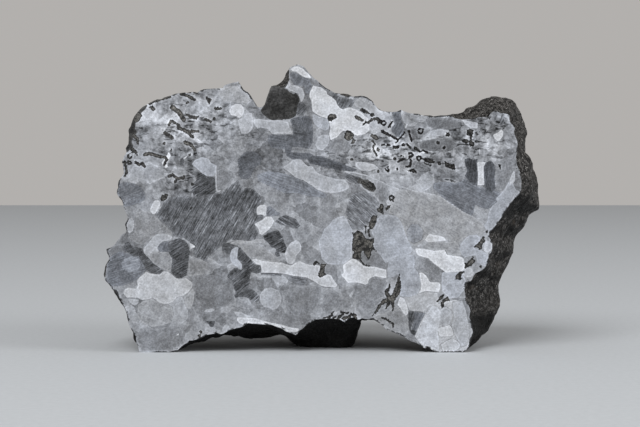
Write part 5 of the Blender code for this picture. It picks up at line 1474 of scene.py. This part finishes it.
def brush_marks(tree, place, brush):
    """Streaks: noise in places turned by the grain's angle and drawn out along it, times how strongly the
    iron is brushed, plus stray bright ones, all fading in and out in patches. Gives this change of level,
    and the streaks alone."""
    angle = read(tree, "angle")
    split = add(tree, "ShaderNodeSeparateXYZ", {0: place}).outputs
    cosine = sums(tree, "COSINE", angle)
    sine = sums(tree, "SINE", angle)
    along = plus(tree, times(tree, split["X"], cosine), times(tree, split["Z"], sine))
    across = sums(tree, "SUBTRACT", times(tree, split["Z"], cosine), times(tree, split["X"], sine))
    turned = add(tree, "ShaderNodeCombineXYZ", {0: scaled(tree, 0.1, along), 1: across}).outputs[0]
    streaks = scaled(tree, 2.0, noise(tree, turned, 0.34, 4, 0.68), -1.0)
    turned = add(tree, "ShaderNodeCombineXYZ", {0: scaled(tree, 0.06, along), 1: across}).outputs[0]
    bright = ramp(tree, noise(tree, turned, 0.45, 2), 0.6, 0.74, 0.0, 0.4)
    patchy = ramp(tree, noise(tree, place, 3.0, 3), 0.3, 0.6, 0.45, 1.0)
    marks = plus(tree, times(tree, streaks, scaled(tree, 0.6, brush, 0.03)), times(tree, bright, brush))
    return times(tree, marks, patchy), streaks


def rim_level(tree, place, level, middling, fine):
    """The level with a lighter band along the rim, whose distance is made uneven by noise, and with dark
    crumbs of rust on stretches of it."""
    rim = plus(tree, read(tree, "rim"), scaled(tree, 0.9, fine), scaled(tree, -0.8, middling))
    level = plus(tree, level, ramp(tree, rim, 0.1, 0.6, 0.08, 0.0))
    crumbs = ramp(tree, rim, 0.2, 0.36, 0.9, 0.0)
    rusty = ramp(tree, noise(tree, place, 2.5, 4), 0.48, 0.56)
    return mixed(tree, times(tree, crumbs, rusty), level, 0.2)


def inclusion_level(tree, place, level, wobble, middling, fine):
    """Inclusions laid over the level, where the distance to them with noise added is under 0. Each has a
    light seam round it, is black, and has a paler core in places. At the top right they are blacker. Also
    gives where the black is and where the cores are."""
    dark = plus(
        tree,
        read(tree, "inclusion"),
        scaled(tree, 0.6, wobble),
        scaled(tree, 0.7, fine),
        scaled(tree, 0.3, middling, -0.04),
    )
    busy = read(tree, "busy")
    seam = ramp(tree, dark, 0.1, 0.6, 0.15, 0.0)
    level = plus(tree, level, times(tree, seam, scaled(tree, 0.8, busy, 0.2)))
    split = add(tree, "ShaderNodeSeparateXYZ", {0: place}).outputs
    right = ramp(tree, split["X"], 12 * MM, 16 * MM)
    blacker = times(tree, right, ramp(tree, split["Z"], 40 * MM, 44 * MM))
    black = ramp(tree, dark, -0.04, 0.1, 1.0, 0.0)
    own = plus(tree, scaled(tree, 0.07, busy, 0.15), scaled(tree, 0.2, fine), scaled(tree, -0.15, blacker))
    level = mixed(tree, black, level, own)
    core = times(tree, ramp(tree, dark, -0.22, -0.1, 1.0, 0.0), scaled(tree, -0.5, blacker, 1.0))
    core = times(tree, core, ramp(tree, noise(tree, place, 0.7, 3), 0.42, 0.52))
    own = plus(tree, scaled(tree, 0.9, fine, 0.36), scaled(tree, 0.08, busy))
    return mixed(tree, core, level, own), black, core


def face_material(name):
    """Polished iron, etched. The grey level on a screen is worked out from the ground up: the ground, the
    grains, the brush marks, the rim and the inclusions. The colour is that level raised to 2.2, with less
    red and more blue where the iron is bluer. Brush marks and inclusions are also cut a little deeper."""
    material, tree, shader, place = new_material(name)

    broad = ripple(tree, place, 6.0, 5)
    middling = ripple(tree, place, 1.8, 5, 0.62)
    fine = ripple(tree, place, 0.4, 3, 0.65)
    wobble = scaled(tree, 0.22, ripple(tree, place, 0.3, 2))
    wobble = scaled(tree, 0.5, ripple(tree, place, 0.9, 3), wobble)
    level, borders, small = ground_level(tree, place, broad, middling)
    level, blue, brush = grain_levels(tree, level, wobble, broad, middling, borders, small)
    marks, streaks = brush_marks(tree, place, brush)
    level = plus(tree, level, marks, scaled(tree, 0.42, fine))
    level = rim_level(tree, place, level, middling, fine)
    level, black, core = inclusion_level(tree, place, level, wobble, middling, fine)

    blue = times(tree, blue, scaled(tree, -1.0, black, 1.0))
    blue = plus(tree, blue, scaled(tree, 0.03, broad), scaled(tree, -0.018, core))
    less = times(tree, level, scaled(tree, -0.7, blue, 1.0))
    more = times(tree, level, scaled(tree, 1.35, blue, 1.0))
    screen = add(tree, "ShaderNodeCombineColor", {0: less, 1: level, 2: more}).outputs[0]
    color = add(tree, "ShaderNodeGamma", {0: screen, 1: 2.2}).outputs[0]
    tree.links.new(color, shader.inputs["Base Color"])
    shader.inputs["Metallic"].default_value = 0.5
    tree.links.new(mixed(tree, black, 0.48, 0.75), shader.inputs["Roughness"])

    scratches = times(tree, streaks, scaled(tree, 0.5, brush, 0.1))
    relief = plus(tree, scratches, fine, scaled(tree, -0.8, black))
    bump = add(tree, "ShaderNodeBump", {"Height": relief, "Distance": 0.03 * MM, "Strength": 0.5})
    tree.links.new(bump.outputs["Normal"], shader.inputs["Normal"])
    return material


piece("cut_face", face_mesh("cut_face"), face_material("etched iron"))

# The studio
# A plain pale tabletop under plain soft light: a large lamp above and in front, a weaker one to the
# right, and an even glow all round.

FLOOR_BACK = 0.84  # the tabletop ends this far behind the face
FLOOR_SIZE = 3.0
FACE_Y = -MIDDLE[1] * MM


def floor_material(name):
    """Matt and pale, very slightly clouded."""
    material, tree, shader, place = new_material(name)
    color = blend(tree, noise(tree, place, 1.5, 4), tone(168, -4), tone(182, -4))
    tree.links.new(color, shader.inputs["Base Color"])
    shader.inputs["Roughness"].default_value = 0.9
    return material


def tabletop():
    """A square, level with the feet, that reaches from behind the stone to well in front of it."""
    near = FACE_Y + FLOOR_BACK - FLOOR_SIZE
    far = FACE_Y + FLOOR_BACK
    half = FLOOR_SIZE / 2
    mesh = bpy.data.meshes.new("tabletop")
    mesh.from_pydata([(-half, near, 0), (half, near, 0), (half, far, 0), (-half, far, 0)], [], [(0, 1, 2, 3)])
    mesh.materials.append(floor_material("tabletop"))
    return new_object("tabletop", mesh)


def lamp(name, place, aim, size, watts):
    """A square lamp that points from its place at another."""
    light = bpy.data.lights.new(name, "AREA")
    light.size = size
    light.energy = watts
    made = new_object(name, light)
    made.location = place
    made.rotation_euler = (Vector(aim) - Vector(place)).to_track_quat("-Z", "Y").to_euler()


tabletop()
lamp("key lamp", (-0.35, -0.75, 0.95), (0, 0, 0.03), 0.7, 13)
lamp("side lamp", (0.9, -0.35, 0.45), (0, 0, 0.03), 0.5, 5)

world = bpy.data.worlds.new("studio")
world.use_nodes = True
glow = world.node_tree.nodes["Background"].inputs
glow["Color"].default_value = tone(200, 3)
glow["Strength"].default_value = 0.75
bpy.context.scene.world = world
bpy.context.scene.view_settings.view_transform = "Standard"

# The camera
# It looks at the face from close by, a little from above, as in the photograph.

CAMERA_AWAY = 0.444  # in front of the face
CAMERA_HEIGHT = 0.0565
AIM_HEIGHT = 0.0349  # where its middle line meets the face

camera = new_object("camera", bpy.data.cameras.new("camera"))
camera.data.lens = 100
camera.data.sensor_width = 36
camera.data.clip_start = 0.01
camera.location = (-MIDDLE[0] * MM, FACE_Y - CAMERA_AWAY, CAMERA_HEIGHT)
camera.rotation_euler = (np.pi / 2 - np.arctan2(CAMERA_HEIGHT - AIM_HEIGHT, CAMERA_AWAY), 0, 0)
bpy.context.scene.camera = camera
